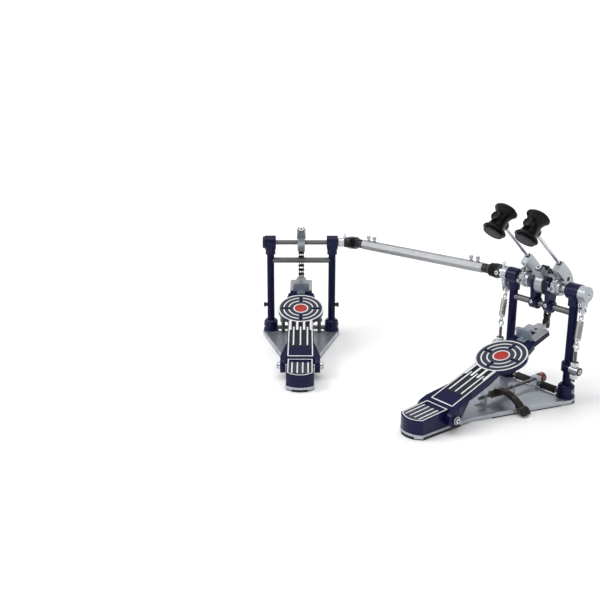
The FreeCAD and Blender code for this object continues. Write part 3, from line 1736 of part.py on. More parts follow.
def eyebolts(name):
    """Threaded eyebolts below the springs, each with a nut above and below its boss."""
    pieces = []
    for sign in (-1, 1):
        at = (S.spring_offset * sign, -S.eyebolt_back)
        eye = doc.addObject("Part::Torus", name + "_eye")
        bind(eye, Radius1=S.eyebolt_eye_radius, Radius2=S.eyebolt_wire / 2)
        eye.Placement = Placement(Vector(), AXIS_TURN["Y"])
        move(eye, (*at, eye_height))
        stem_top = eye_height - S.eyebolt_eye_radius
        stem_low = adjuster_height - S.eyebolt_tail
        stem = cylinder(name + "_stem", S.eyebolt_diameter / 2, "Z", stem_low, stem_top, at)
        pieces.append(fuse(name + "_bolt", eye, stem))
        nut_bore = S.eyebolt_diameter / 2 + S.seat_clearance
        boss = S.adjuster_boss_diameter / 2
        for side in (-1, 1):
            near = adjuster_height + boss * side
            far = near + S.nut_height * side
            low, high = (near, far) if side > 0 else (far, near)
            pieces.append(tube(name + "_nut", S.nut_diameter / 2, nut_bore, "Z", low, high, at))
    node(name, pieces, PRIMARY)


def spring_adjusters(name):
    """Rings on the posts with a boss that holds each eyebolt."""
    half = S.adjuster_ring_height / 2
    low = adjuster_height - half
    high = adjuster_height + half
    pieces = []
    for sign in (-1, 1):
        x = post_x * sign
        ring_radius = S.adjuster_ring_diameter / 2
        ring_body = cylinder(name + "_ring", ring_radius, "Z", low, high, (x, 0))
        far = S.adjuster_boss_end * sign
        ends = (x, far) if sign > 0 else (far, x)
        boss_radius = S.adjuster_boss_diameter / 2
        boss_at = (-S.eyebolt_back, adjuster_height)
        boss = cylinder(name + "_boss", boss_radius, "X", *ends, boss_at)
        post_radius = S.post_diameter / 2 + S.seat_clearance
        post_bore = cylinder(name + "_post_bore", post_radius, "Z", low, high, (x, 0))
        bolt_radius = S.eyebolt_diameter / 2 + S.seat_clearance
        bolt_at = (S.spring_offset * sign, -S.eyebolt_back)
        bolt_bore = cylinder(name + "_bolt_bore", bolt_radius, "Z", low, high, bolt_at)
        body = fuse(name + "_body", ring_body, boss)
        pieces.append(cut(name + "_adjuster", body, post_bore, bolt_bore))
    node(name, pieces, PRIMARY)


def slave_end_plugs(name):
    """The cap on the slave's free bearing and the bare stubs on its posts."""
    end = -housing_end
    cap_ends = (end - S.end_cap_thickness, end)
    cap = cylinder(name + "_cap", S.end_cap_diameter / 2, "X", *cap_ends, (0, S.axle_height))
    pieces = [cap]
    for sign in (-1, 1):
        near = (post_x + S.post_diameter / 2 - S.stub_seat) * sign
        far = S.stub_end * sign
        low, high = (near, far) if sign > 0 else (far, near)
        at = (0, adjuster_height)
        pieces.append(cylinder(name + "_stub", S.stub_diameter / 2, "X", low, high, at))
    node(name, pieces, SLAVE)


def floor_spurs(name):
    """Threaded spurs through the slave's plate, with a knurled head each."""
    pieces = []
    radius = S.spur_diameter / 2
    for sign in (-1, 1):
        at = (S.spur_offset * sign, -S.spur_back)
        tip_top = S.pad_thickness / 2 + S.spur_tip
        point = S.spur_tip_diameter / 2
        tip = cone(name + "_tip", point, radius, S.pad_thickness / 2, tip_top, at)
        stem = cylinder(name + "_stem", radius, "Z", tip_top, S.spur_length, at)
        head_top = S.spur_length + S.spur_head_height
        head = cylinder(name + "_head", S.spur_head_diameter / 2, "Z", S.spur_length, head_top, at)
        pieces.append(fuse(name + "_spur", tip, stem, head))
    node(name, pieces, SLAVE)


# Hoop clamp of the primary


def clamp_parts():
    rod_radius = S.clamp_rod_diameter / 2
    rod_at = (0, S.clamp_rod_height)
    rod_ends = (-S.clamp_rod_start, S.clamp_rod_end)
    node("clamp_rod", [cylinder("clamp_rod_bar", rod_radius, "Y", *rod_ends, rod_at)], PRIMARY)
    bore_radius = rod_radius + S.seat_clearance
    knob_at = (0, S.clamp_rod_height - S.knob_offset)
    knob_ends = (S.knob_start, S.clamp_rod_end)
    knob_body = cylinder("clamp_knob_body", S.knob_diameter / 2, "Y", *knob_ends, knob_at)
    knob_bore = cylinder("clamp_knob_bore", bore_radius, "Y", *knob_ends, rod_at)
    node("clamp_knob", [cut("clamp_knob_finished", knob_body, knob_bore)], PRIMARY)
    clamp_clip(rod_radius, rod_at)
    clamp_lever(bore_radius, rod_at)


def clamp_clip(rod_radius, rod_at):
    """The block on the lower bar that carries the clamp rod."""
    half = S.clip_width / 2
    depth = S.clip_depth / 2
    low = S.lower_bar_height - S.lower_bar_diameter / 2 - S.clip_wall
    high = S.clamp_rod_height + S.clamp_rod_diameter / 2 + S.clip_wall
    block = box("clamp_clip_block", (-half, half), (-depth, depth), (low, high))
    bar_radius = S.lower_bar_diameter / 2 + S.seat_clearance
    bar = cylinder("clamp_clip_bar_bore", bar_radius, "X", -half, half, (0, S.lower_bar_height))
    bore = cylinder(
        "clamp_clip_rod_bore", rod_radius + S.running_clearance, "Y", -depth, depth, rod_at
    )
    node("clamp_clip", [cut("clamp_clip_finished", block, bar, bore)], PRIMARY)


def clamp_lever(bore_radius, rod_at):
    """A lever curved over the plate's edge, with a broad pad on its end."""
    y = (-S.lever_start, S.lever_hub_length - S.lever_start)
    hub = cylinder("clamp_lever_hub", S.lever_hub_diameter / 2, "Y", *y, rod_at)
    middle = S.lever_hub_length / 2 - S.lever_start
    arm_y = (middle - S.lever_width / 2, middle + S.lever_width / 2)
    centre = (S.lever_centre, -S.lever_centre_drop)
    edge_run = (-arm_y[1] - S.plate_rear) / (S.plate_waist - S.plate_rear)
    narrowing = (S.plate_rear_half_width - S.plate_waist_half_width) * edge_run
    edge_x = S.plate_rear_half_width - narrowing
    edge_reach = hypotenuse(edge_x - S.lever_centre, plate_top + S.lever_centre_drop)
    inner = edge_reach + S.lever_clearance
    outer = inner + S.lever_thickness
    ring_arm = tube("clamp_lever_ring", outer, inner, "Y", *arm_y, centre)
    keep_x = (0, S.lever_centre + outer)
    keep = box("clamp_lever_keep", keep_x, arm_y, (S.lever_bottom, outer))
    arm = common("clamp_lever_arm", ring_arm, keep)
    pad_y = (middle - S.lever_pad_width / 2, middle + S.lever_pad_width / 2)
    pad_outer = outer + S.lever_pad_thickness
    pad_ring = tube("clamp_lever_pad_ring", pad_outer, inner, "Y", *pad_y, centre)
    pad_x = (S.lever_centre, S.lever_centre + pad_outer)
    pad_z = (S.lever_bottom, S.lever_bottom + S.lever_pad_height)
    pad = common("clamp_lever_pad", pad_ring, box("clamp_lever_pad_keep", pad_x, pad_y, pad_z))
    web_z = (S.clamp_rod_height, inner - S.lever_centre_drop)
    web = box("clamp_lever_web", (0, S.lever_centre), arm_y, web_z)
    bore = cylinder("clamp_lever_bore", bore_radius, "Y", *y, rod_at)
    solid = fuse("clamp_lever_solid", hub, arm, web, pad)
    node("clamp_lever", [cut("clamp_lever_finished", solid, bore)], PRIMARY)


# Drive shaft and universal joints


def yoke_arms(name, centre, reach, sign, upright, play):
    """Two fork arms past the joint's centre and the holes for the cross, square to X."""
    half = S.yoke_arm_width / 2
    inner = S.yoke_arm_inner
    outer = S.yoke_arm_inner + S.yoke_arm_thickness
    start = as_size(centre) - reach * sign
    end = as_size(centre) + S.yoke_arm_end * sign
    x = (start, end) if sign > 0 else (end, start)
    arms = []
    for side in (-1, 1):
        pair = (inner, outer) if side > 0 else (-outer, -inner)
        if upright:
            arms.append(box(name + "_arm", x, (-half, half), pair))
        else:
            arms.append(box(name + "_arm", x, pair, (-half, half)))
    axis = "Z" if upright else "Y"
    hole = cylinder(
        name + "_hole", S.cross_pin_diameter / 2 + play, axis, -outer, outer, (centre, 0)
    )
    return arms, hole


def universal_joint(label, sign, bend, frame):
    """An axle's yoke and the cross that it carries, turned back by half the travel."""
    centre = S.joint_reach * sign
    hub_low = yoke_hub_start
    hub_high = S.joint_reach - S.yoke_start
    ends = (hub_low * sign, hub_high * sign) if sign > 0 else (hub_high * sign, hub_low * sign)
    hub = cylinder(label + "_hub", S.yoke_hub_diameter / 2, "X", *ends, (0, 0))
    reach = S.yoke_start + S.yoke_hub_length / 2
    arms, hole = yoke_arms(label, centre, reach, sign, True, S.running_clearance)
    bore = cylinder(label + "_bore", axle_bore, "X", *ends, (0, 0))
    yoke = cut(label + "_yoke", fuse(label + "_solid", hub, *arms), hole, bore)
    half = S.cross_block / 2
    pin_end = S.yoke_arm_inner + S.yoke_arm_thickness
    radius = S.cross_pin_diameter / 2
    upright = cylinder(label + "_upright_pin", radius, "Z", -pin_end, pin_end, (0, 0))
    level = cylinder(label + "_level_pin", radius, "Y", -pin_end, pin_end, (0, 0))
    block = box(label + "_block", (-half, half), (-half, half), (-half, half))
    tilted = group(label + "_tilted", [level, block], (0, 0, 0), (0, 0, 1), bend)
    cross = fuse(label + "_cross", upright, tilted)
    crossed = group(label + "_cross_placed", [cross], (centre, 0, 0))
    at = (0, 0, S.axle_height)
    key_at = ((hub_low + S.key_washer_diameter / 2) * sign, 0)
    screw, key_hole = key_screw(label + "_key", S.yoke_hub_diameter / 2, key_at)
    upright_hole = group(label + "_upright_hole", [key_hole], (0, 0, 0), (1, 0, 0), -half_travel)
    drilled = cut(label + "_drilled", yoke, upright_hole)
    turned_back = group(label + "_turned", [drilled, crossed], at, (1, 0, 0), half_travel)
    key = group(label + "_key_placed", [screw], at)
    node(label, [turned_back, key], frame)


def shaft_parts():
    length = S.shaft_length
    tube_ends = (S.tube_start, length - S.tube_start)
    flat = S.tube_across_flats / 2
    upright_hexagon = [(y, z) for z, y in reversed(hexagon(S.tube_across_flats))]
    hex_bar = prism("shaft_tube_hexagon", "YZ", upright_hexagon, *tube_ends)
    core_radius = S.core_diameter / 2
    bore = cylinder(
        "shaft_tube_bore", core_radius + S.seat_clearance, "X", *tube_ends, (0, 0)
    )
    screws = []
    holes = []
    for place in (0, 1):
        offset = S.shaft_screw_start + S.shaft_screw_spacing * place
        for x in (offset, length - offset):
            screw, hole = key_screw("shaft_screw", flat, (x, 0))
            screws.append(screw)
            holes.append(hole)
    node("shaft_tube", [cut("shaft_tube_finished", hex_bar, bore, *holes)], SHAFT)
    node("shaft_screws", screws, SHAFT)
    yokes = []
    for centre, sign in ((as_size(0), -1), (length, 1)):
        start = centre - S.yoke_start * sign
        hub_end = centre - (S.yoke_start + S.yoke_hub_length) * sign
        core_end = centre - (S.tube_start + S.core_length) * sign
        hub_x = (hub_end, start) if sign > 0 else (start, hub_end)
        core_x = (core_end, start) if sign > 0 else (start, core_end)
        name = "shaft_yoke"
        hub = cylinder(name + "_hub", S.shaft_yoke_diameter / 2, "X", *hub_x, (0, 0))
        core = cylinder(name + "_core", core_radius, "X", *core_x, (0, 0))
        reach = S.yoke_start + S.yoke_hub_length / 2
        arms, hole = yoke_arms(name, centre, reach, sign, False, S.cross_play)
        yoke = cut(name, fuse(name + "_solid", hub, core, *arms), hole)
        turned_back = group(name + "_turned", [yoke], (0, 0, 0), (1, 0, 0), half_travel)
        yokes.append(cut(name + "_drilled", turned_back, *holes))
    node("shaft_yokes", yokes, SHAFT)


def boot(name, frame, sign, bend):
    """A ribbed rubber boot along the arc that joins an axle to the shaft."""
    reach = S.boot_reach.value
    angle = math.radians(bend.value)
    radius = reach / math.tan(abs(angle) / 2)
    length = radius * abs(angle)
    side = math.copysign(1, angle)
    start = Vector((S.joint_reach.value - reach) * sign, 0, S.axle_height.value)

    def ring_at(along, ring_radius):
        turn = along / radius
        forward = radius * math.sin(turn) * sign
        across = radius * (1 - math.cos(turn)) * side * sign
        centre = start + Vector(forward, across, 0)
        way = Vector(math.cos(turn) * sign, math.sin(turn) * side * sign, 0)
        circle = Part.Circle(centre, way, ring_radius)
        circle.XAxis = Vector(0, 0, 1)
        return Part.Wire([circle.toShape()])

    cuff = S.boot_cuff.value
    ribs = round(S.boot_ribs.value)
    pitch = (length - 2 * cuff) / ribs
    ridge = S.boot_ridge_diameter.value / 2
    valley = S.boot_valley_diameter.value / 2
    hub = S.yoke_hub_diameter.value / 2 + S.moving_gap.value
    tail = S.shaft_yoke_diameter.value / 2 + S.moving_gap.value
    wall = S.boot_wall.value
    slope = S.boot_slope.value
    taper = S.boot_taper.value
    taper_ribs = S.boot_taper_ribs.value
    root = S.boot_rib_root.value
    shoulder = S.boot_rib_shoulder.value
    outside = [(0, hub + wall), (cuff - slope, hub + wall)]
    for i in range(ribs):
        low = cuff + pitch * i
        drop = (valley - tail - wall) / 2 * max(0, i - ribs + taper_ribs) / taper_ribs
        outside.append((low + pitch * root, valley - drop))
        outside.append((low + pitch * shoulder, ridge - drop))
        outside.append((low + pitch * (1 - shoulder), ridge - drop))
        outside.append((low + pitch * (1 - root), valley - drop))
    outside.append((length - cuff + slope, tail + wall))
    outside.append((length, tail + wall))
    bore = S.boot_bore.value / 2
    bore_start = cuff + slope
    bore_length = length - cuff - taper - bore_start
    steps = round(S.boot_bore_steps.value)
    inside = [(0, hub), (cuff, hub)]
    inside.extend((bore_start + bore_length * i / steps, bore) for i in range(steps + 1))
    inside.extend([(length - cuff, tail), (length, tail)])
    outer = Part.makeLoft([ring_at(*place) for place in outside], True, True)
    inner = Part.makeLoft([ring_at(*place) for place in inside], True, True)
    item = doc.addObject("Part::Feature", name + "_rubber")
    item.Shape = outer.cut(inner)
    node(name, [item], frame)


def build():
    pads = []
    bolts = []
    rings = []
    rods = []
    for name, frame in PEDALS.items():
        base_plate(name + "_base_plate", frame)
        heel_block(name + "_heel_block", frame)
        posts(name + "_posts", frame)
        post_sockets(name + "_post_sockets", frame)
        bearing_housings(name + "_bearing_housings", frame)
        footboard(name + "_footboard", frame)
        toe_plate(name + "_toe_plate", frame)
        toe_stop(name + "_toe_stop", frame)
        chain_run(name + "_chain_run", frame)
        chain_wrap(name + "_chain_wrap", frame)
        cam(name + "_cam", frame)
        pads.append(base_pads(name + "_pads", frame))
        bolts.append(pivot_bolt(name + "_pivot", frame))
        rings.append(housing_bearings(name + "_bearings", frame))
        rods.append(bars(name + "_bars", frame))
    bolts.append(bracket_screws("bracket_screws"))
    rings.append(bracket_bearings("bracket_rings"))
    node("base_pads", pads, WORLD)
    node("frame_bolts", bolts, WORLD)
    node("axle_bearings", rings, WORLD)
    node("cross_bars", rods, WORLD)
    bar_sleeves("bar_sleeves")
    center_brackets("center_brackets")
    slave_end_plugs("slave_end_plugs")
    floor_spurs("floor_spurs")
    spring_adjusters("spring_adjusters")
    eyebolts("spring_eyebolts")
    clamp_parts()
    axle_meeting = S.moving_gap / 2 - S.bracket_offset
    arm_outer = S.beater_offset + S.arm_width / 2 + S.moving_gap
    spacer = (arm_outer, arm_outer + S.spacer_width)
    rocker_outer = S.rocker_start + S.rocker_width
    axle("right_axle", axle_meeting, rocker_outer, [spacer], PRIMARY)
    joint_end = yoke_hub_start + S.yoke_grip
    hub_outer = S.beater_offset + S.clamp_hub_offset + S.clamp_hub_width / 2 + S.moving_gap
    left_spacer = (-hub_outer - S.spacer_width, -hub_outer)
    axle("left_axle", -joint_end, axle_meeting - S.moving_gap, [left_spacer], PRIMARY)
    collar = (S.rocker_start, yoke_hub_start - S.moving_gap)
    axle("slave_axle", -housing_end, joint_end, [collar], SLAVE)
    for side, sign in (("right", 1), ("left", -1)):
        beater(side, sign)
        rocker(side, sign)
        spring_hook(side, sign)
        spring(side, sign)
    slave_bend = S.shaft_angle - S.slave_angle
    universal_joint("slave_universal_joint", 1, slave_bend, SLAVE)
    universal_joint("left_universal_joint", -1, S.shaft_angle, PRIMARY)
    shaft_parts()
    boot("slave_boot", SLAVE, 1, slave_bend)
    boot("primary_boot", PRIMARY, -1, S.shaft_angle)


def export():
    doc.recompute()
    faults = []
    for item in doc.Objects:
        if "Invalid" in item.State or "Error" in item.State:
            faults.append(item.Name)
    for item in nodes:
        if item.Shape.isNull() or not item.Shape.isValid() or not item.Shape.Solids:
            faults.append(item.Label)
    if faults:
        raise RuntimeError(f"these objects failed: {faults}")
    os.makedirs("parts", exist_ok=True)
    for item in nodes:
        item.Shape.exportStep(f"parts/{item.Label}.step")
    print(f"{len(nodes)} sub-parts written")


build()
export()
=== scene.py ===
import json
from math import asin, atan2, copysign, cos, pi, radians, sin, sqrt, tan

import bmesh
import bpy
from mathutils import Matrix, Vector


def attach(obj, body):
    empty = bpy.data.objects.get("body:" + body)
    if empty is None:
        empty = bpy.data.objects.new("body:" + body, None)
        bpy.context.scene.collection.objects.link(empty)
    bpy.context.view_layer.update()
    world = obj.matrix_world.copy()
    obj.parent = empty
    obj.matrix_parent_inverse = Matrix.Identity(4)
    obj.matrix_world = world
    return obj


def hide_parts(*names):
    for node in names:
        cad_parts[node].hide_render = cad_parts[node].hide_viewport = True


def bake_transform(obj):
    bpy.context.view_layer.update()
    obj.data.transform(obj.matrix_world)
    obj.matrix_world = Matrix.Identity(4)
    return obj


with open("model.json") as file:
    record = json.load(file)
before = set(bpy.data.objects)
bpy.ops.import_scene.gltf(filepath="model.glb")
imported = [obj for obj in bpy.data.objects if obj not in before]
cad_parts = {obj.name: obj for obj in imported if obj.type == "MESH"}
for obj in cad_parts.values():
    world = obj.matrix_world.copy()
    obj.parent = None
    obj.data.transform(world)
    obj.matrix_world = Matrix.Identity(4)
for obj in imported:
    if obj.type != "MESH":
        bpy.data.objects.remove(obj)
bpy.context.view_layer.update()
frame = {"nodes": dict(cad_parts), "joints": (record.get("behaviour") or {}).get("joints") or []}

# Looks of a double bass drum pedal. Frames and sizes are in millimetres and are turned into metres
# where a piece is made. A pedal's own frame has X along its axle, Y towards the drum and Z up.
MM = 0.001
JOINTS = {joint["name"]: joint for joint in frame["joints"]}


def at(x, y, z):
    return Matrix.Translation((x, y, z))


def turn(degrees, axis):
    return Matrix.Rotation(radians(degrees), 4, axis)


def pedal_frame(axle_joint):
    """The frame of one pedal, from the place and direction of its axle."""
    joint = JOINTS[axle_joint]
    x_way = Vector(joint["axis"])
    z_way = Vector((0, 0, 1))
    axes = Matrix((x_way, z_way.cross(x_way), z_way)).transposed().to_4x4()
    x, y, _ = joint["pos_m"]
    return at(x / MM, y / MM, 0) @ axes


AXLE_HEIGHT = JOINTS["right_axle_turn"]["pos_m"][2] / MM
PRIMARY = pedal_frame("right_axle_turn")
SLAVE = pedal_frame("slave_axle_turn")
PEDALS = {"primary": PRIMARY, "slave": SLAVE}
SIDES = {"right": 1, "left": -1}
BOTH = (-1, 1)

# Places and angles in a pedal's frame, as in the CAD source
BOARD_SLOPE = 18.85
HINGE_BACK = 263
HINGE_HEIGHT = 24.5
POST_X = 67.5
ADJUSTER_Y = -8
ADJUSTER_HEIGHT = 67.97
BRACKET_X = 16
BEATER_X = 35
BEATER_LEAN = 48
ROD_Y = 28.8
ROD_START = 38
HEAD_REACH = 151
SPRING_X = 86.2
ROCKER_HEIGHT = AXLE_HEIGHT - 30
JOINT_X = 115
SHAFT_TURN = 11.1
SHAFT_LENGTH = 347.8
SLAVE_BEND = -41.05


def board_frame(pedal):
    """The footboard's frame: the hinge axis, with Y along the board and Z square to it."""
    return pedal @ at(0, -HINGE_BACK, HINGE_HEIGHT) @ turn(BOARD_SLOPE, "X")


# Materials

PATCH_SPAN = (0.3, 0.7)
# Noise for the patches of edge colour, which are partly wear and partly painted highlight
CHIP_AND_HIGHLIGHT_SPAN = (0.42, 0.62)
CHIP_AND_HIGHLIGHT_SCALE = 8
EDGE_SPAN = (1.0, 0.8)
BEVEL_SAMPLES = 4
GRAIN_SPAN = (0.25, 0.75)
GLOSS_SHARES = (0.8, 1.25)
BUMP_STRENGTH = 0.6


class Nodes:
    """A material's node tree, with short calls for the nodes used here."""

    def __init__(self, name):
        self.material = bpy.data.materials.new(name)
        self.material.use_nodes = True
        self.tree = self.material.node_tree
        self.shader = self.tree.nodes["Principled BSDF"]
        self.place = self.add("ShaderNodeTexCoord").outputs["Object"]

    def set(self, socket, value):
        if isinstance(value, bpy.types.NodeSocket):
            self.tree.links.new(value, socket)
        else:
            socket.default_value = value

    def fill(self, node, **sockets):
        for name, value in sockets.items():
            self.set(node.inputs[name.replace("_", " ")], value)
        return node

    def add(self, kind, **sockets):
        return self.fill(self.tree.nodes.new(kind), **sockets)

    def noise(self, scale, detail=3.0, roughness=0.6, place=None):
        source = self.place if place is None else place
        node = self.add(
            "ShaderNodeTexNoise", Vector=source, Scale=scale, Detail=detail, Roughness=roughness
        )
        return node.outputs["Fac"]

    def span(self, value, low, high, out_low=0.0, out_high=1.0):
        node = self.add("ShaderNodeMapRange", Value=value, From_Min=low, From_Max=high)
        return self.fill(node, To_Min=out_low, To_Max=out_high).outputs["Result"]

    def mix(self, factor, first, second):
        node = self.tree.nodes.new("ShaderNodeMix")
        node.data_type = "RGBA"
        self.set(node.inputs[0], factor)
        self.set(node.inputs[6], first)
        self.set(node.inputs[7], second)
        return node.outputs[2]

    def math(self, kind, operation, first, second):
        node = self.tree.nodes.new(kind)
        node.operation = operation
        self.set(node.inputs[0], first)
        self.set(node.inputs[1], second)
        return node.outputs["Value"]


def tint(colour, factor):
    return tuple(min(1.0, channel * factor) for channel in colour) + (1.0,)


def surface(
    name, colour, metallic, roughness, tone=0.12, patch=40, grain=900, grain_depth=0.00002,
    edge_radius=0.0006, edge_tone=1.5, coat=0.0, specular=0.5, stretch=None,
):
    """A finish with patchy tone, fine grain, softened edges that take another tone in patches,
    partly as wear and partly as painted highlight, and gloss.

    Stretch draws the grain out along one axis, as on a turned or brushed part."""
    nodes = Nodes(name)
    patches = nodes.span(nodes.noise(patch, 4.0), *PATCH_SPAN)
    tones = nodes.mix(patches, tint(colour, 1 - tone), tint(colour, 1 + tone))
    bevel = nodes.add("ShaderNodeBevel", Radius=edge_radius)
    bevel.samples = BEVEL_SAMPLES
    soft = bevel.outputs["Normal"]
    plain = nodes.add("ShaderNodeNewGeometry").outputs["Normal"]
    # Edges take the edge tone in patches, mostly lighter: partly wear, partly painted highlight
    # where light catches the edges
    edge = nodes.span(nodes.math("ShaderNodeVectorMath", "DOT_PRODUCT", soft, plain), *EDGE_SPAN)
    chips_and_highlights = nodes.span(nodes.noise(patch * CHIP_AND_HIGHLIGHT_SCALE), *CHIP_AND_HIGHLIGHT_SPAN)
    wear_and_highlight = nodes.math("ShaderNodeMath", "MULTIPLY", edge, chips_and_highlights)
    place = nodes.place
    if stretch:
        place = nodes.add("ShaderNodeMapping", Vector=nodes.place, Scale=stretch).outputs["Vector"]
    fine = nodes.noise(grain, 2.0, 0.5, place)
    low, high = (min(1.0, roughness * share) for share in GLOSS_SHARES)
    bump = nodes.add("ShaderNodeBump", Height=fine, Normal=soft, Strength=BUMP_STRENGTH)
    nodes.fill(bump, Distance=grain_depth)
    nodes.fill(
        nodes.shader,
        Base_Color=nodes.mix(wear_and_highlight, tones, tint(colour, edge_tone)),
        Roughness=nodes.span(fine, *GRAIN_SPAN, low, high),
        Normal=bump.outputs["Normal"],
        Metallic=metallic,
        Coat_Weight=coat,
        Specular_IOR_Level=specular,
    )
    return nodes.material


PAINTED = dict(tone=0.1, patch=12, grain=3500, grain_depth=0.000001, edge_tone=2.0)
PLATED = dict(grain=2500, edge_radius=0.0009)
ROUGH_CAST = dict(tone=0.08, grain=1400, grain_depth=0.00004, edge_radius=0.0008, edge_tone=1.6)
TURNED = dict(grain=300, stretch=(8.0, 1.0, 1.0))
GRIPPY = dict(patch=200, grain=2200, grain_depth=0.00003, edge_tone=1.3, specular=0.25)

NAVY = surface("navy_paint", (0.0047, 0.0057, 0.039), 0.0, 0.22, specular=0.2, **PAINTED)
# A darker copy of the navy, with less sheen, for the posts and adjuster sleeves: the darker colour
# is painted shade on the upright posts
POST_NAVY = surface("post_navy", (0.0036, 0.0046, 0.034), 0.0, 0.22, specular=0.1, **PAINTED)
SILVER = surface("silver_paint", (0.42, 0.45, 0.5), 0.8, 0.36, tone=0.07, edge_tone=1.7, **PLATED)
# A darker, bluer copy of the silver for the toe stop: painted shade on its upright face, which
# faces away from the light
STOP_SILVER = surface(
    "stop_silver", (0.27, 0.315, 0.38), 0.6, 0.36, tone=0.08, edge_tone=2.2, **PLATED
)
TOE_SILVER = surface("toe_silver", (0.56, 0.58, 0.61), 0.75, 0.38, tone=0.06, **PLATED)
# A light silver: the painted highlight lines on the base plates' edges, and the bright cam bolts
# and slave axle collar
BRIGHT = surface(
    "bright_edge", (0.62, 0.64, 0.67), 0.7, 0.34, tone=0.06, grain=2500, edge_tone=1.3
)
CAST = surface("cast_aluminium", (0.42, 0.445, 0.475), 0.85, 0.34, **ROUGH_CAST)
# A darker copy of the cast aluminium for the cams: painted shade on the cams
CAM_CAST = surface("cam_cast", (0.3, 0.322, 0.348), 0.85, 0.34, **ROUGH_CAST)
CHROME = surface("chrome", (0.62, 0.64, 0.67), 1.0, 0.09, tone=0.04, edge_tone=1.2)
SCREW = surface("screw_steel", (0.3, 0.3, 0.31), 1.0, 0.2, tone=0.1, patch=120, edge_tone=2.2)
STEEL = surface("turned_steel", (0.36, 0.36, 0.37), 1.0, 0.3, tone=0.1, **TURNED)
DULL_STEEL = surface("dull_steel", (0.14, 0.14, 0.144), 0.9, 0.36, **TURNED)
DARK_STEEL = surface("dark_steel", (0.1, 0.1, 0.1), 1.0, 0.32, tone=0.15, edge_tone=2.0)
SPRING_STEEL = surface("spring_steel", (0.43, 0.425, 0.405), 1.0, 0.26, tone=0.15, patch=120)
TUBE = surface(
    "satin_tube", (0.31, 0.318, 0.33), 0.5, 0.42, tone=0.05, grain=700, stretch=(0.15, 1.0, 1.0)
)
BLACK_STEEL = surface("black_steel", (0.018, 0.018, 0.02), 0.7, 0.36, tone=0.3, edge_tone=5.0)
RUBBER = surface(
    "rubber", (0.008, 0.008, 0.009), 0.0, 0.5, tone=0.2, grain=1600, grain_depth=0.00003,
    edge_tone=1.8, specular=0.3,
)
HEAD_RUBBER = surface(
    "moulded_rubber", (0.0012, 0.0018, 0.003), 0.0, 0.32, tone=0.2, grain=2500,
    grain_depth=0.000004, edge_tone=2.0, specular=0.17,
)
FACE_RUBBER = surface(
    "beater_face", (0.018, 0.0185, 0.021), 0.0, 0.55, tone=0.2, patch=150, grain=2000,
    grain_depth=0.00003, specular=0.3,
)
BOOT_RUBBER = surface(
    "boot_rubber", (0.006, 0.006, 0.0065), 0.0, 0.27, tone=0.2, grain_depth=0.00001, specular=0.8
)
BLACK_PLASTIC = surface(
    "black_plastic", (0.008, 0.008, 0.01), 0.0, 0.36, tone=0.15, grain=1200, specular=0.35
)
GUNMETAL = surface("gunmetal", (0.072, 0.065, 0.056), 0.85, 0.3, tone=0.18, patch=60, grain=700)
RED = surface("red_plastic", (0.14, 0.007, 0.006), 0.0, 0.34, coat=0.15)
LINE = surface(
    "line_paint", (0.79, 0.8, 0.82), 0.0, 0.42, tone=0.05, patch=120, grain=1800, edge_tone=0.9,
    specular=0.3,
)
GRIP = surface("grip_strip", (0.043, 0.044, 0.065), 0.0, 0.62, **GRIPPY)
BOARD_GRIP = surface("board_grip", (0.017, 0.018, 0.029), 0.0, 0.62, **GRIPPY)
# Near-black for the tread's gaps, and for the painted shade in screw sockets and round bolt heads
FIELD_AND_SHADE = surface("grip_field_and_shade", (0.005, 0.005, 0.009), 0.0, 0.5, tone=0.2, grain=1500, specular=0.2)
TARGET = surface(
    "target_red", (0.42, 0.036, 0.028), 0.0, 0.45, tone=0.08, patch=90, grain=1800, specular=0.25
)


def pair(*names, sides=PEDALS):
    return [side + "_" + name for name in names for side in sides]


NODE_FINISH = {
    NAVY: pair("heel_block", "post_sockets", "bearing_housings", "footboard") + ["center_brackets"],
    POST_NAVY: pair("posts"),
    SILVER: pair("base_plate"),
    TOE_SILVER: pair("toe_plate"),
    STOP_SILVER: pair("toe_stop"),
    CAST: pair("beater_arm", "rocker", sides=SIDES) + ["spring_adjusters", "clamp_clip"],
    CAM_CAST: pair("cam"),
    CHROME: pair("beater_rod", "spring_hook", sides=SIDES) + [
        "frame_bolts", "spring_eyebolts", "left_universal_joint", "slave_universal_joint",
    ],
    SCREW: pair("axle_screws", sides=SIDES) + ["shaft_screws"],
    STEEL: pair("axle", sides=SIDES) + ["axle_bearings"],
    DULL_STEEL: ["cross_bars", "clamp_rod", "slave_axle"],
    DARK_STEEL: ["floor_spurs"],
    TUBE: ["shaft_tube"],
    BLACK_STEEL: pair("chain_wrap", "chain_run") + ["shaft_yokes"],
    GUNMETAL: ["clamp_lever"],
    RED: ["clamp_knob"],
    BLACK_PLASTIC: ["slave_end_plugs", "bar_sleeves", "base_pads"],
    RUBBER: pair("boot") + pair("beater_head", sides=SIDES),
    SPRING_STEEL: pair("spring", sides=SIDES),
}
for finish, names in NODE_FINISH.items():
    for name in names:
        slots = frame["nodes"][name].data.materials
        slots.clear()
        slots.append(finish)


# Mesh helpers: solids are built in millimetres and gathered into pieces


def outward(sign):
    """Z turned along X, to the given side."""
    return turn(90 * sign, "Y")


# Z turned along X, along Y and towards the drummer, and a plan turned into the YZ plane
ALONG_X = outward(1)
ALONG_Y = turn(-90, "X")
TO_DRUMMER = turn(90, "X")
IN_YZ = Matrix(((0, 0, 1), (1, 0, 0), (0, 1, 0))).to_4x4()


def no_lift(x, y):
    return 0


def oblong(left, right, low, high):
    """The corners of a rectangle, as an outline or as the profile of a ring."""
    return [(left, low), (right, low), (right, high), (left, high)]


def mirrored(profile):
    """A profile followed by its mirror image across the XY plane."""
    return profile + [(radius, -z) for radius, z in reversed(profile)]


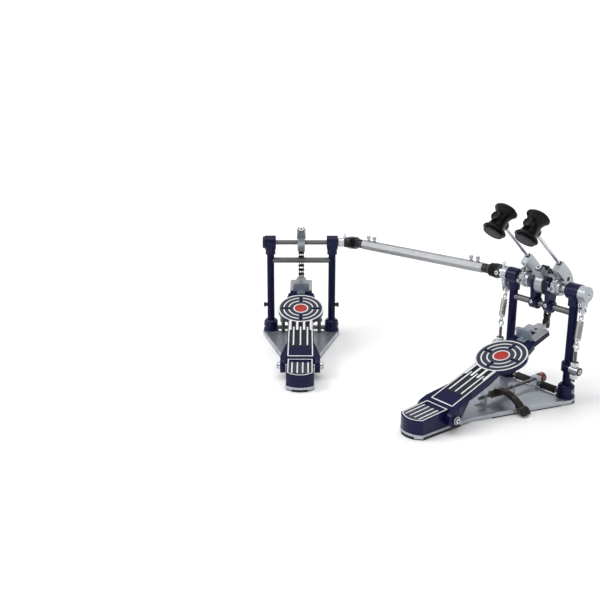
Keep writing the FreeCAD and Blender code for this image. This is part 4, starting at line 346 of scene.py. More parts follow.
def ring_points(radius, z, steps, corners=0):
    """A circle about Z, or a polygon with that corner radius drawn with as many points."""
    points = []
    for i in range(steps):
        angle = 2 * pi * i / steps
        reach = radius
        if corners:
            part = 2 * pi / corners
            reach *= cos(part / 2) / cos(angle % part - part / 2)
        points.append((reach * cos(angle), reach * sin(angle), z))
    return points


def skin(work, loops, closed=False, capped=True):
    """Faces between loops of points: a ring if closed, or else with a face on each end if capped.

    A loop of one point is a tip."""
    rows = [[work.verts.new(point) for point in loop] for loop in loops]
    pairs = list(zip(rows, rows[1:]))
    if closed:
        pairs.append((rows[-1], rows[0]))
    for first, second in pairs:
        count = max(len(first), len(second))
        for i in range(count):
            j = (i + 1) % count
            corners = [first[i % len(first)], first[j % len(first)]]
            corners += [second[j % len(second)], second[i % len(second)]]
            work.faces.new(list(dict.fromkeys(corners)))
    if capped and not closed:
        for row in (rows[0], rows[-1]):
            if len(row) > 2:
                work.faces.new(row)


def lathe(work, profile, steps=48, closed=False):
    """A body turned about Z from pairs of radius and height."""
    loops = []
    for radius, z in profile:
        loops.append(ring_points(radius, z, steps) if radius else [(0, 0, z)])
    skin(work, loops, closed)


def slab(work, outline, low, high, lift=no_lift):
    """A plate over a plan outline; lift raises a plan point onto a sloping top."""
    skin(work, [[(x, y, z + lift(x, y)) for x, y in outline] for z in (low, high)])


def frame_slab(work, outer, inner, low, high, lift=no_lift):
    """A flat frame between two plan outlines with as many points."""
    loops = []
    for outline, z in oblong(inner, outer, low, high):
        loops.append([(x, y, z + lift(x, y)) for x, y in outline])
    skin(work, loops, closed=True)


RIDGE_PITCH = 1.2
RIDGE_DEPTH = 0.2


def ridged(work, half_width, low, high, base, lift=no_lift):
    """A grip panel along Y with ridges across it."""
    count = 2 * round((high - low) / RIDGE_PITCH)
    loops = []
    for i in range(count + 1):
        y = low + (high - low) * i / count
        wide = half_width(y)
        top = base + RIDGE_DEPTH * (1 + i % 2)
        loops.append([(x, y, z + lift(x, y)) for x, z in oblong(-wide, wide, base, top)])
    skin(work, loops)


def round_loop(middle, across, other, radius, steps):
    """A circle in the plane of two directions."""
    loop = []
    for i in range(steps):
        angle = 2 * pi * i / steps
        loop.append(middle + (across * cos(angle) + other * sin(angle)) * radius)
    return loop


def sweep(work, points, radius, sides=12):
    """A round wire along a line of points."""
    line = [Vector(point) for point in points]
    last = len(line) - 1
    across = None
    loops = []
    for i, point in enumerate(line):
        way = (line[min(i + 1, last)] - line[max(i - 1, 0)]).normalized()
        if across is None:
            across = way.orthogonal()
        across = (across - way * across.dot(way)).normalized()
        loops.append(round_loop(point, across, way.cross(across), radius, sides))
    skin(work, loops)


def thread(work, radius, depth, pitch, low, high, steps=20, rows=6):
    """A screw thread about Z."""
    loops = []
    count = round((high - low) / pitch * rows)
    for i in range(count + 1):
        z = low + (high - low) * i / count
        loop = []
        for x, y, _ in ring_points(1, 0, steps):
            phase = (z / pitch - atan2(y, x) / (2 * pi)) % 1
            reach = radius + depth * (1 - abs(2 * phase - 1))
            loop.append((x * reach, y * reach, z))
        loops.append(loop)
    skin(work, loops)


def knurl(work, radius, low, high, ridges=30, depth=0.45, chamfer=0.9, per_ridge=3):
    """A nut with straight knurling round it and chamfered ends."""
    loops = []
    for z, drop in ((low, chamfer), (low + chamfer, 0), (high - chamfer, 0), (high, chamfer)):
        loop = []
        for i, (x, y, _) in enumerate(ring_points(1, 0, per_ridge * ridges)):
            reach = radius - drop - (depth if i % per_ridge == 0 and not drop else 0)
            loop.append((x * reach, y * reach, z))
        loops.append(loop)
    skin(work, loops)


SOCKET_LIP = 0.25
SOCKET_TIP = 0.3
# Size and height of the dark disc at a socket's floor, which is painted shade
SOCKET_SHADE_SHARE = 0.84
SOCKET_SHADE_HEIGHT = 0.3


def socket_head(work, radius, height, socket, depth, corners=6, chamfer=0.5, steps=48):
    """A screw head that stands on the XY plane, with a socket in its top."""
    loops = [
        ring_points(radius, 0, steps),
        ring_points(radius, height - chamfer, steps),
        ring_points(radius - chamfer, height, steps),
        ring_points(socket + SOCKET_LIP, height, steps, corners),
        ring_points(socket, height - SOCKET_LIP, steps, corners),
        ring_points(socket, height - depth, steps, corners),
        [(0, 0, height - depth - socket * SOCKET_TIP)],
    ]
    skin(work, loops)


def hex_nut(work, radius, height, chamfer=0.7, steps=48, corners=6):
    """A six-sided nut that stands on the XY plane."""
    sizes = ((radius, 0), (radius, height - chamfer), (radius - chamfer, height))
    skin(work, [ring_points(reach, z, steps, corners) for reach, z in sizes])


def capsule(x, low, high, width, steps=8):
    """The outline of a line along Y with round ends."""
    radius = width / 2
    points = []
    for centre, start in ((low + radius, pi), (high - radius, 0)):
        for i in range(steps + 1):
            angle = start + pi * i / steps
            points.append((x + radius * cos(angle), centre + radius * sin(angle)))
    return points


def band(inner, outer, start, end, steps=24, cap_steps=6):
    """The outline of part of a ring about Z, with round ends."""
    middle = (inner + outer) / 2
    radius = (outer - inner) / 2
    points = []
    for reach, first, last in ((outer, start, end), (inner, end, start)):
        for i in range(steps + 1):
            angle = first + (last - first) * i / steps
            points.append((reach * cos(angle), reach * sin(angle)))
        cap = last if reach == outer else last + pi
        for i in range(1, cap_steps):
            angle = cap + pi * i / cap_steps
            x = middle * cos(last) + radius * cos(angle)
            points.append((x, middle * sin(last) + radius * sin(angle)))
    return points


def mesh_object(name, work, finish):
    """A smooth object in the scene, from faces in metres."""
    mesh = bpy.data.meshes.new(name)
    work.to_mesh(mesh)
    work.free()
    mesh.polygons.foreach_set("use_smooth", [True] * len(mesh.polygons))
    mesh.materials.append(finish)
    item = bpy.data.objects.new(name, mesh)
    bpy.context.scene.collection.objects.link(item)
    return item


class Shape:
    """Solids gathered in one mesh, each put in its place, in millimetres."""

    def __init__(self):
        self.work = bmesh.new()

    def add(self, place, build, *sizes, **more):
        before = len(self.work.verts)
        build(self.work, *sizes, **more)
        self.work.verts.ensure_lookup_table()
        fresh = self.work.verts[before:]
        bmesh.ops.transform(self.work, matrix=place, verts=fresh)
        return self

    def piece(self, name, finish, slot, bevel=0.0, angle=35):
        """The mesh as an object in metres, with soft edges and smooth curves."""
        bmesh.ops.recalc_face_normals(self.work, faces=self.work.faces)
        bmesh.ops.scale(self.work, vec=(MM, MM, MM), verts=self.work.verts)
        item = mesh_object(name, self.work, finish)
        item.data.set_sharp_from_angle(angle=radians(angle))
        if bevel:
            soften = item.modifiers.new("soften", "BEVEL")
            soften.width = bevel * MM
            soften.segments = 2
            soften.limit_method = "ANGLE"
            soften.angle_limit = radians(angle)
            soften.harden_normals = True
        return item

    def on(self, body, *looks, **more):
        """The piece, carried by a body."""
        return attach(self.piece(*looks, **more), body)


def shaded_socket_head(shape, painted_shades, place, radius, height, socket, depth):
    """A socket head, with a dark disc at the floor of its socket: painted shade in the recess."""
    shape.add(place, socket_head, radius, height, socket, depth)
    low = height - depth
    painted_shades.add(place, lathe, oblong(0, SOCKET_SHADE_SHARE * socket, low, low + SOCKET_SHADE_HEIGHT), 24)


# Treads of the footboards and heels: grip panels, painted lines and a target

BOARD_TOP = 14.0
LINE_RISE = 0.92
LINE_TOP = BOARD_TOP + LINE_RISE
LINE_WIDTH = 2.8
LINE_BEVEL = 0.25
BOARD_REAR = 11
BOARD_HALF = 25.5
BOARD_TAPER = 1.5
BORDER = 2.6
BORDER_REAR = 11.1
STRIPE_X = (-14, 0, 14)
FINGER_X = (-21, -7, 7, 21)
FINGER_WIDTH = 4.6
BOARD_GRIP_Y = (43.5, 92.5)
GAP_X = (21.4, 14, 7, 0, -7, -14, -21.4)
DISC_Y = 169.7
DISC_RADIUS = 47.5
DISC_STEPS = 96
DISC_RINGS = ((44.6, DISC_RADIUS - 0.1), (13.3, 15.9))
BROKEN_RINGS = ((34.65, 37.35), (24.05, 26.75))
RING_GAP = 5.4
DISC_GRIP = (16.0, 44.2)
DISC_RIDGES = 47
SPOKE_RISE = 0.62
TARGET_RADIUS = 13.0
TARGET_RISE = 0.75


def board_edge(y, inset):
    """Half the width of the tread's border, drawn in by inset, along the board."""
    return BOARD_HALF - BOARD_TAPER * (y - BOARD_REAR) / (DISC_Y - BOARD_REAR) - inset


def disc_edge(x, radius=46.0):
    """How far along the board the disc begins, at a place across it."""
    return DISC_Y - sqrt(radius**2 - x**2)


def board_lines(place, on_disc):
    """The painted border, stripes, fingers and rings of a footboard."""
    outlines = []
    for sign in BOTH:
        outer = [(sign * board_edge(y, 0.15), y) for y in (BORDER_REAR, 60, 127.0)]
        inner = [(sign * board_edge(y, BORDER - 0.25), y) for y in (125.6, 60, BORDER_REAR)]
        outlines.append(outer + inner)
    outlines.append(oblong(-25.3, 25.3, BORDER_REAR, 13.4))
    outlines += [capsule(x, 46.1, 105.9, LINE_WIDTH) for x in STRIPE_X]
    for x in FINGER_X:
        finger = capsule(x, 95.1, 140, FINGER_WIDTH)
        outlines.append([(px, min(py, disc_edge(px))) for px, py in finger])
    lines = Shape()
    for outline in outlines:
        lines.add(place, slab, outline, BOARD_TOP, LINE_TOP)
    for inner, outer in DISC_RINGS:
        lines.add(on_disc, lathe, oblong(inner, outer, BOARD_TOP, LINE_TOP), DISC_STEPS, True)
    for inner, outer in BROKEN_RINGS:
        gap = RING_GAP / ((inner + outer) / 2)
        for quarter in range(4):
            start = pi / 2 * quarter + gap
            outline = band(inner, outer, start, start + pi / 2 - 2 * gap)
            lines.add(on_disc, slab, outline, BOARD_TOP, LINE_TOP)
    return lines


def board_treads(side, place):
    """Lines, grips, spokes and target of one footboard."""
    body = side + "_board"
    on_disc = place @ at(0, DISC_Y, 0)
    lines = board_lines(place, on_disc)
    lines.on(body, side + "_tread_lines", LINE, "silver_plate", LINE_BEVEL)

    start, end = BOARD_GRIP_Y
    grips = Shape().add(place, ridged, lambda y: board_edge(y, BORDER), start, end, BOARD_TOP)
    grips.on(body, side + "_board_grips", BOARD_GRIP, "black_rubber")

    inner, outer = DISC_GRIP
    profile = [(inner, BOARD_TOP)]
    for i in range(DISC_RIDGES + 1):
        radius = inner + (outer - inner) * i / DISC_RIDGES
        profile.append((radius, BOARD_TOP + RIDGE_DEPTH * (1 + i % 2)))
    profile.append((outer, BOARD_TOP))
    grips = Shape().add(on_disc, lathe, profile, DISC_STEPS, True)
    grips.on(body, side + "_tread_grips", GRIP, "black_rubber")

    outline = [(GAP_X[-1], end), (GAP_X[0], end)] + [(x, disc_edge(x)) for x in GAP_X]
    gaps = Shape().add(place, slab, outline, BOARD_TOP, BOARD_TOP + RIDGE_DEPTH)
    gaps.on(body, side + "_tread_gaps", FIELD_AND_SHADE, "black_rubber")

    spokes = Shape()
    for quarter in range(4):
        spoke = on_disc @ turn(90 * quarter, "Z")
        spokes.add(spoke, slab, capsule(0, 21.5, 40.5, 5.0), BOARD_TOP, BOARD_TOP + SPOKE_RISE)
    spokes.on(body, side + "_tread_spokes", NAVY, "navy_casting", 0.15)

    top = BOARD_TOP + TARGET_RISE
    profile = [(0, BOARD_TOP), (TARGET_RADIUS, BOARD_TOP), (TARGET_RADIUS, top)]
    profile += [(12.2, top + 0.2), (0, top + 0.25)]
    target = Shape().add(on_disc, lathe, profile, 64)
    target.on(body, side + "_target", TARGET, "red_plastic")


HEEL_FRONT_CENTRE = -302.625
HEEL_FRONT_RADIUS = 36.375
HEEL_HALF = 27.0
HEEL_REAR = -266.6
HEEL_TOP = 39.5
HEEL_SLOPE = tan(radians(5))
HEEL_GRIP_Y = (-333.2, -281)
HEEL_LINE_FRONT = -326.9
HEEL_LINE_PITCH = 10.3


def heel_height(x, y):
    """Height of the heel's sloping top."""
    return HEEL_TOP + (y + HINGE_BACK) * HEEL_SLOPE


def heel_bow(inset, reach, steps):
    """Points along the heel's bowed front, drawn in by inset."""
    radius = HEEL_FRONT_RADIUS - inset
    points = []
    for i in range(steps + 1):
        angle = reach * (2 * i / steps - 1)
        points.append((radius * sin(angle), HEEL_FRONT_CENTRE - radius * cos(angle)))
    return points


def heel_outline(inset, rear):
    """The heel's plan, drawn in by inset, with a bowed front."""
    half = HEEL_HALF - inset
    reach = asin(half / (HEEL_FRONT_RADIUS - inset))
    return heel_bow(inset, reach, 24) + [(half, rear), (-half, rear)]


def heel_width(y, inset):
    """Half the width of the heel's plan at a place along it."""
    radius = HEEL_FRONT_RADIUS - inset
    bow = radius**2 - min(0, y - HEEL_FRONT_CENTRE) ** 2
    return min(HEEL_HALF - inset, sqrt(max(bow, 0.01)))


def heel_treads(side, place):
    """Lines, grip and bare panel of one heel."""
    front, rear = HEEL_GRIP_Y
    lines = Shape()
    outer = heel_outline(2.75, HEEL_REAR - 0.15)
    inner = heel_outline(4.95, HEEL_REAR - 2.35)
    lines.add(place, frame_slab, outer, inner, 0, LINE_RISE, heel_height)
    for share in (-1.5, -0.5, 0.5, 1.5):
        outline = capsule(HEEL_LINE_PITCH * share, HEEL_LINE_FRONT, rear, LINE_WIDTH)
        lines.add(place, slab, outline, 0, LINE_RISE, heel_height)
    lines.on("frame", side + "_heel_lines", LINE, "silver_plate", LINE_BEVEL)
    grips = Shape().add(place, ridged, lambda y: heel_width(y, 5.3), front, rear, 0, heel_height)
    grips.on("frame", side + "_heel_grips", GRIP, "black_rubber")
    panel = Shape().add(place, slab, oblong(-21.5, 21.5, -280.2, -269.6), 0, 0.98, heel_height)
    panel.on("frame", side + "_heel_panel", NAVY, "navy_casting", 0.3)


# Rubber pads and sleeves

FLOOR_GAP = 0.02
PAD_TOP = 2.5
STRIP_TOP = 5.0
STRIP_LIP = 0.3
STRIP_WIDTH = 4.0
FRONT_STRIP_REACH = 0.43
SIDE_STRIP_Y = (-325, -236)


def pads_and_sleeves():
    """Pads under both pedals, strips round their heels, and the lower bar's two sleeves."""
    inner, outer = HEEL_HALF - STRIP_WIDTH, HEEL_HALF + STRIP_LIP
    front = heel_bow(-STRIP_LIP, FRONT_STRIP_REACH, 12)
    front += heel_bow(STRIP_WIDTH, -FRONT_STRIP_REACH, 12)
    pads = Shape()
    for pedal in PEDALS.values():
        pads.add(pedal, slab, heel_outline(2.0, -207), FLOOR_GAP, PAD_TOP)
        pads.add(pedal, slab, front, FLOOR_GAP, STRIP_TOP)
        for low, high in ((-outer, -inner), (inner, outer)):
            pads.add(pedal, slab, oblong(low, high, *SIDE_STRIP_Y), FLOOR_GAP, STRIP_TOP)
        pads.add(pedal, slab, oblong(-30, 30, -27, -9), FLOOR_GAP, PAD_TOP)
        for sign in BOTH:
            foot = pedal @ at(POST_X * sign, 0, 0)
            pads.add(foot, lathe, [(17.25, FLOOR_GAP), (17.25, 4.8)])
            edge = [(79, -26), (71, -26), (31, -166), (39, -166)]
            pads.add(pedal, slab, [(x * sign, y) for x, y in edge], FLOOR_GAP, PAD_TOP)
    pads = pads.on("frame", "rubber_pads", RUBBER, "black_rubber", 0.5)
    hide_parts("base_pads")
    sleeves = Shape()
    profile = [(4.55, -15.5), (6.7, -15.5), (7.25, -14.6), (7.25, -12.6), (7.0, -12.0)]
    for sign in BOTH:
        bar = PRIMARY @ at(29 * sign, 0, 14.5) @ ALONG_X
        sleeves.add(bar, lathe, mirrored(profile), closed=True)
    sleeves = sleeves.on("frame", "rubber_sleeves", RUBBER, "black_rubber", 0.3)
    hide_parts("bar_sleeves")


# Beaters

HEAD_SCALE = 0.965
HEAD_FAR = [
    (0, 27.5), (17.6, 27.5), (18.5, 26.8), (18.5, 25.3), (20.4, 25.1), (21.8, 24.4), (22.5, 23.0),
    (22.5, 20.6),
]
HEAD_NEAR = [
    (0, 27.4), (16.9, 27.4), (17.1, 28.2), (18.2, 28.5), (19.0, 27.9), (19.2, 26.9), (19.1, 25.7),
    (16.6, 25.2), (16.6, 23.8), (21.2, 23.6), (22.3, 22.9), (22.7, 21.9), (22.6, 20.6),
    (21.8, 19.2), (20.0, 17.4), (18.4, 15.6), (17.1, 13.2), (16.2, 11.4), (15.3, 9.0), (14.5, 5.0),
]
HEAD_BOSS = [(0, -20), (7.2, -20), (8.9, -19.2), (9.6, -17.6)]
FLARE_END = 20
FLARE_STEPS = 20
FLARE_RISE = 8.3
FLARE_POWER = 2.6
WAIST = 14.2


def on_rod(sign, reach):
    """A place on a beater's rod, with Z along the rod."""
    axle = PRIMARY @ at(0, 0, AXLE_HEIGHT) @ turn(BEATER_LEAN, "X")
    return axle @ at(BEATER_X * sign, ROD_Y, reach)


def head_profile():
    """The turned profile of a beater head, from its far face to its near one."""
    flare = []
    for i in range(FLARE_STEPS):
        z = FLARE_END * (1 - (i + 1) / FLARE_STEPS)
        flare.append((WAIST + FLARE_RISE * (z / FLARE_END) ** FLARE_POWER, z))
    return HEAD_FAR + flare + [(radius, -z) for radius, z in reversed(HEAD_NEAR)]


def beater(side, sign):
    """A beater's moulded head and its two faces, and the ring and sleeve of its rod."""
    body = side + "_axle_set"
    place = on_rod(sign, HEAD_REACH) @ ALONG_Y @ Matrix.Scale(HEAD_SCALE, 4)
    head = Shape().add(place, lathe, head_profile(), 72)
    head.add(place @ turn(90, "X"), lathe, mirrored(HEAD_BOSS), 40)
    head = head.on(body, side + "_beater_spool", HEAD_RUBBER, "black_rubber", 0.3, 40)
    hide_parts(side + "_beater_head")
    faces = Shape()
    for way, top in ((1, 28.4), (-1, 27.9)):
        profile = [(0, 27.3), (16.6, 27.3), (16.6, top - 0.4), (15.8, top - 0.1), (0, top)]
        faces.add(place @ Matrix.Scale(way, 4, (0, 0, 1)), lathe, profile, 64)
    faces.on(body, side + "_beater_faces", FACE_RUBBER, "black_rubber")
    root = on_rod(sign, ROD_START)
    profile = [(3.02, -0.3), (4.9, -0.3), (4.9, 0.4), (4.2, 0.9), (3.02, 0.9)]
    ring = Shape().add(root, lathe, profile, 40, True)
    ring.on(body, side + "_rod_ring", BLACK_STEEL, "black_rubber")
    profile = [(2.9, 0.8), (3.45, 0.9), (3.45, 96.5), (2.9, 96.6)]
    sleeve = Shape().add(root, lathe, profile, 40, True)
    sleeve.on(body, side + "_rod_sleeve", CHROME, "chrome")


# Springs, in a frame with its origin on the rocker's pin

WIRE_RADIUS = 1.0
SPRING_LEAN = -7.352
SPRING_RADIUS = 5.5
SPRING_PITCH = 2.75
SPRING_CURLS = 12
SPRING_TOP = -21.157
SPRING_BOTTOM = SPRING_TOP - SPRING_CURLS * SPRING_PITCH
CURL_STEPS = 24
TOP_HOOK = -14
LOW_HOOK = -61.314
HOOK_RADIUS = 4
HOOK_TURN = 1.5 * pi
LEAD = 5
LEAD_REACH = 5.5


def curve_between(start, start_way, end, end_way, reach, steps=8):
    """Points of a smooth bend that leaves start and reaches end in the given directions."""
    points = []
    first = start + start_way * reach
    second = end - end_way * reach
    for i in range(1, steps):
        t = i / steps
        u = 1 - t
        points.append(
            start * u**3 + first * (3 * u * u * t) + second * (3 * u * t * t) + end * t**3
        )
    return points


def hook_arc(centre, sweep_angle, in_xz, steps=20):
    """A hook's arc from its straight side, in the XZ or the YZ plane."""
    points = []
    for i in range(steps + 1):
        angle = pi + sweep_angle * i / steps
        across, up = HOOK_RADIUS * cos(angle), centre + HOOK_RADIUS * sin(angle)
        points.append(Vector((across, 0, up)) if in_xz else Vector((0, across, up)))
    return points


def spring_path():
    """The middle line of a spring's wire: upper hook, curls and lower hook."""
    down = Vector((0, 0, -1))
    along = Vector((0, 1, -0.08)).normalized()
    coil = []
    for i in range(SPRING_CURLS * CURL_STEPS + 1):
        angle = 2 * pi * i / CURL_STEPS
        z = SPRING_TOP - SPRING_PITCH * i / CURL_STEPS
        coil.append(Vector((SPRING_RADIUS * cos(angle), SPRING_RADIUS * sin(angle), z)))
    top_lead = Vector((-HOOK_RADIUS, 0, SPRING_TOP + LEAD))
    low_lead = Vector((0, -HOOK_RADIUS, SPRING_BOTTOM - LEAD))
    path = hook_arc(TOP_HOOK, -HOOK_TURN, True)[::-1] + [top_lead]
    path += curve_between(top_lead, down, coil[0], along, LEAD_REACH) + coil
    path += curve_between(coil[-1], along, low_lead, down, LEAD_REACH) + [low_lead]
    return path + hook_arc(LOW_HOOK, HOOK_TURN, False)


def springs():
    """Each spring's wire, which stretches from its link to its lower end."""
    path = spring_path()
    for side, sign in SIDES.items():
        place = PRIMARY @ at(SPRING_X * sign, 0, ROCKER_HEIGHT) @ turn(SPRING_LEAN, "X")
        wire = Shape().add(place, sweep, path, WIRE_RADIUS)
        wire = wire.piece(side + "_spring_wire", SPRING_STEEL, "steel", angle=60)
        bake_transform(wire)
        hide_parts(side + "_spring")


# Boots of the universal joints

BOOT_START = 100
BOOT_HALF = JOINT_X - BOOT_START
BOOT_CUFF = 4.0
BOOT_RIBS = 5
RIB_STEPS = 9
RIB_ROOT = 10.6
RIB_RISE = 3.9
RIB_POWER = 1.7
RIB_DROP = 1.6
BOOTS = (
    ("primary", PRIMARY, -1, SHAFT_TURN, CHROME, "chrome"),
    ("slave", SLAVE, 1, SLAVE_BEND, BLACK_STEEL, "black_chain"),
)


def boot_loops(sign, bend):
    """Loops round a ribbed sleeve that follows the joint's bend, outside and then inside."""
    angle = radians(abs(bend))
    radius = BOOT_HALF / tan(angle / 2)
    length = radius * angle
    far_cuff = length - BOOT_CUFF
    way = copysign(1, bend)

    def loop(along, reach, steps=40):
        turned = along / radius
        forward = radius * sin(turned) * sign
        across = radius * (1 - cos(turned)) * way * sign
        middle = Vector((BOOT_START * sign + forward, across, AXLE_HEIGHT))
        side_way = Vector((-sin(turned) * way, cos(turned), 0))
        return round_loop(middle, side_way, Vector((0, 0, 1)), reach, steps)

    loops = [loop(0, 10.5), loop(0, 11.7), loop(0.4, 12.1), loop(BOOT_CUFF - 0.6, 12.1)]
    pitch = (length - 2 * BOOT_CUFF) / BOOT_RIBS
    for i in range(BOOT_RIBS):
        drop = RIB_DROP * max(0, i - 1) / (BOOT_RIBS - 1)
        for j in range(RIB_STEPS + 1):
            swell = sin(pi * j / RIB_STEPS) ** RIB_POWER
            along = BOOT_CUFF + pitch * (i + j / (RIB_STEPS + 0.5))
            loops.append(loop(along, RIB_ROOT + RIB_RISE * swell - drop))
    loops += [loop(far_cuff + 0.6, 10), loop(length - 0.4, 10), loop(length, 9.7)]
    loops += [loop(length, 8.5), loop(far_cuff, 8.5), loop(far_cuff - 2, 8.6)]
    return loops + [loop(BOOT_CUFF + 1, 10.2), loop(BOOT_CUFF, 10.1)]


def boots():
    """The boots, each with a key screw at its near end."""
    for side, pedal, sign, bend, finish, slot in BOOTS:
        boot = Shape().add(pedal, skin, boot_loops(sign, bend), True)
        boot = boot.on("frame", side + "_joint_boot", BOOT_RUBBER, "black_rubber", angle=60)
        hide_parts(side + "_boot")
        head, painted_shades = Shape(), Shape()
        bolt = pedal @ at((BOOT_START + 2) * sign, -12, AXLE_HEIGHT) @ TO_DRUMMER
        shaded_socket_head(head, painted_shades, bolt, 4.2, 2.4, 2.2, 1.3)
        head.on("frame", side + "_boot_screw", finish, slot)
        # Painted shade: a dark disc at the floor of the screw's socket
        painted_shades.on("frame", side + "_boot_painted_shade", FIELD_AND_SHADE, "black_rubber")


# Fittings of both pedals

# Painted highlight lines along the base plates' side edges: their ends in plan, height and steps
HIGHLIGHT_ENDS = ((79.5, -22), (39.02, -160.16))
HIGHLIGHT_HEIGHT = 8.95
HIGHLIGHT_STEPS = 12
CAM_BOLT_TURN = 32
CAM_BOLT_REACH = 38.6
CHAIN_PITCH = 9.525
CHAIN_RADIUS = 24.959
CHAIN_START = 23.0
CHAIN_HEIGHT = 7.4
LINK_TURN = 22.0
WRAP_LINKS = 3
RUN_LINKS = 10
RUN_LEAN = 4.5
RIVET = [(0, 5.6), (2.3, 5.6), (2.3, 6.3), (1.7, 6.8), (0, 6.8)]
STOP_Y = (233.6, 237.3)
STOP_FOOT = 2.8
STOP_HALF = 17.4
STOP_TOP = 21.0
STOP_CORNER = 5.5
STOP_BOW = 1.2


def side_screws(side, pedal):
    """The heads and washers of the heel's pivot bolt, and the post sockets' screws, with painted
    shade in their sockets and round the pivot heads.
    """
    pivots, washers, screws, painted_shades = Shape(), Shape(), Shape(), Shape()
    for sign in BOTH:
        socket = pedal @ at((POST_X + 14.8) * sign, 0, 23) @ outward(sign)
        shaded_socket_head(screws, painted_shades, socket, 4.3, 1.0, 2.1, 0.9)
        pivot = pedal @ at(43.4 * sign, -HINGE_BACK, HINGE_HEIGHT) @ outward(sign)
        shaded_socket_head(pivots, painted_shades, pivot, 4.7, 3.4, 2.5, 2.2)
        profile = [(4.9, 0), (7.4, 0), (7.4, 0.4), (6.6, 0.9), (4.9, 0.9)]
        washers.add(pivot, lathe, profile, closed=True)
        # A dark ring round each pivot head, on its washer: painted shadow under the head
        painted_shades.add(pivot, lathe, oblong(4.65, 5.6, 0.6, 1.3), closed=True)
    pivots.on("frame", side + "_pivot_heads", CHROME, "chrome", 0.15)
    screws.on("frame", side + "_side_screws", SCREW, "chrome", 0.15)
    washers.on("frame", side + "_pivot_washers", STEEL, "steel")
    # Painted shade: dark socket floors, and dark rings round the pivot heads
    painted_shades.on("frame", side + "_side_painted_shades", FIELD_AND_SHADE, "black_rubber")


def plate_edge_highlights(side, pedal):
    """Bright wires along the base plate's two side edges, lighter than the plate: painted highlight
    on its folded edges.
    """
    (x0, y0), (x1, y1) = HIGHLIGHT_ENDS
    line = []
    for i in range(HIGHLIGHT_STEPS + 1):
        line.append((x0 + (x1 - x0) * i / HIGHLIGHT_STEPS, y0 + (y1 - y0) * i / HIGHLIGHT_STEPS))
    highlight_lines = Shape()
    for sign in BOTH:
        highlight_lines.add(pedal, sweep, [(x * sign, y, HIGHLIGHT_HEIGHT) for x, y in line], 0.9, 10)
    highlight_lines.on("frame", side + "_plate_edge_highlights", BRIGHT, "silver_plate")


def cam_bolt(side, pedal, body):
    """The bolt in the top of a cam, with painted shade in its socket and a painted shadow ring
    round its head.
    """
    cam = pedal @ at(0, 0, AXLE_HEIGHT) @ turn(CAM_BOLT_TURN, "X") @ at(0, 0, CAM_BOLT_REACH)
    bolt, painted_shades = Shape(), Shape()
    shaded_socket_head(bolt, painted_shades, cam, 5.6, 2.2, 2.9, 1.5)
    # A dark ring round the bolt's head: painted shadow under the head
    painted_shades.add(cam, lathe, oblong(5.5, 6.7, -0.6, 0.3), 40, True)
    bolt.on(body, side + "_cam_bolt", BRIGHT, "chrome", 0.1)
    painted_shades.on(body, side + "_cam_bolt_painted_shades", FIELD_AND_SHADE, "black_rubber")


def rivets(shape, place):
    """Both ends of a chain pin."""
    for sign in BOTH:
        shape.add(place @ outward(sign), lathe, RIVET, 20)


def chain_details(side, pedal, cam_body):
    """Rivets of the chain's pins, a plate in the middle of every other link, and the last links."""
    axle = pedal @ at(0, 0, AXLE_HEIGHT)
    top = axle @ turn(CHAIN_START, "X") @ at(0, CHAIN_RADIUS, 0) @ turn(-CHAIN_START, "X")
    run = top @ turn(-RUN_LEAN, "X") @ at(0, 0, -RUN_LINKS * CHAIN_PITCH)
    half = CHAIN_HEIGHT / 2
    pins, plates = Shape(), Shape()
    for i in range(RUN_LINKS):
        link = run @ at(0, 0, CHAIN_PITCH * i)
        if i:
            rivets(pins, link)
        if i % 2:
            outline = capsule(0, -half, CHAIN_PITCH + half, CHAIN_HEIGHT)
            plates.add(link @ IN_YZ, slab, outline, -0.8, 0.8)
    pins.on(side + "_chain", side + "_chain_rivets", STEEL, "black_chain")
    plates.on(side + "_chain", side + "_chain_plates", BLACK_STEEL, "black_chain", 0.2)
    pins = Shape()
    for i in range(WRAP_LINKS):
        turned = turn(CHAIN_START + LINK_TURN * i, "X")
        rivets(pins, axle @ turned @ at(0, CHAIN_RADIUS, 0))
    pins.on(cam_body, side + "_wrap_rivets", STEEL, "black_chain")
    last = turn(CHAIN_START + WRAP_LINKS * LINK_TURN - 90, "X")
    end = axle @ last @ at(0, 0, CHAIN_RADIUS)
    ends = Shape()
    for x in (-5.4, 0, 5.4):
        ends.add(end @ at(x, 0, 0) @ IN_YZ, slab, capsule(0, -3.6, 9.2, 7.2), -1.2, 1.2)
    if side == "primary":
        for sign in BOTH:
            ends.add(end @ outward(sign), knurl, 5.6, 9.3, 11.0, 18, 0.6, 0.4)
    ends.on(cam_body, side + "_chain_end", BLACK_PLASTIC, "black_chain", 0.2)


def toe_stop_blade(side, board, steps=8):
    """The toe stop's upright with round corners and a bowed top, round the lower CAD one."""
    right = [(STOP_HALF, STOP_FOOT)]
    for i in range(steps + 1):
        angle = pi / (2 * steps) * i
        x = STOP_HALF - STOP_CORNER * (1 - cos(angle))
        right.append((x, STOP_TOP - STOP_BOW - STOP_CORNER * (1 - sin(angle))))
    outline = right + [(0, STOP_TOP)] + [(-x, z) for x, z in reversed(right)]
    low, high = STOP_Y
    place = board @ at(0, high, BOARD_TOP) @ TO_DRUMMER
    blade = Shape().add(place, slab, outline, 0, high - low)
    blade.on(side + "_board", side + "_stop_blade", STOP_SILVER, "silver_plate", 0.6)


# Fittings of the springs, axles and bars

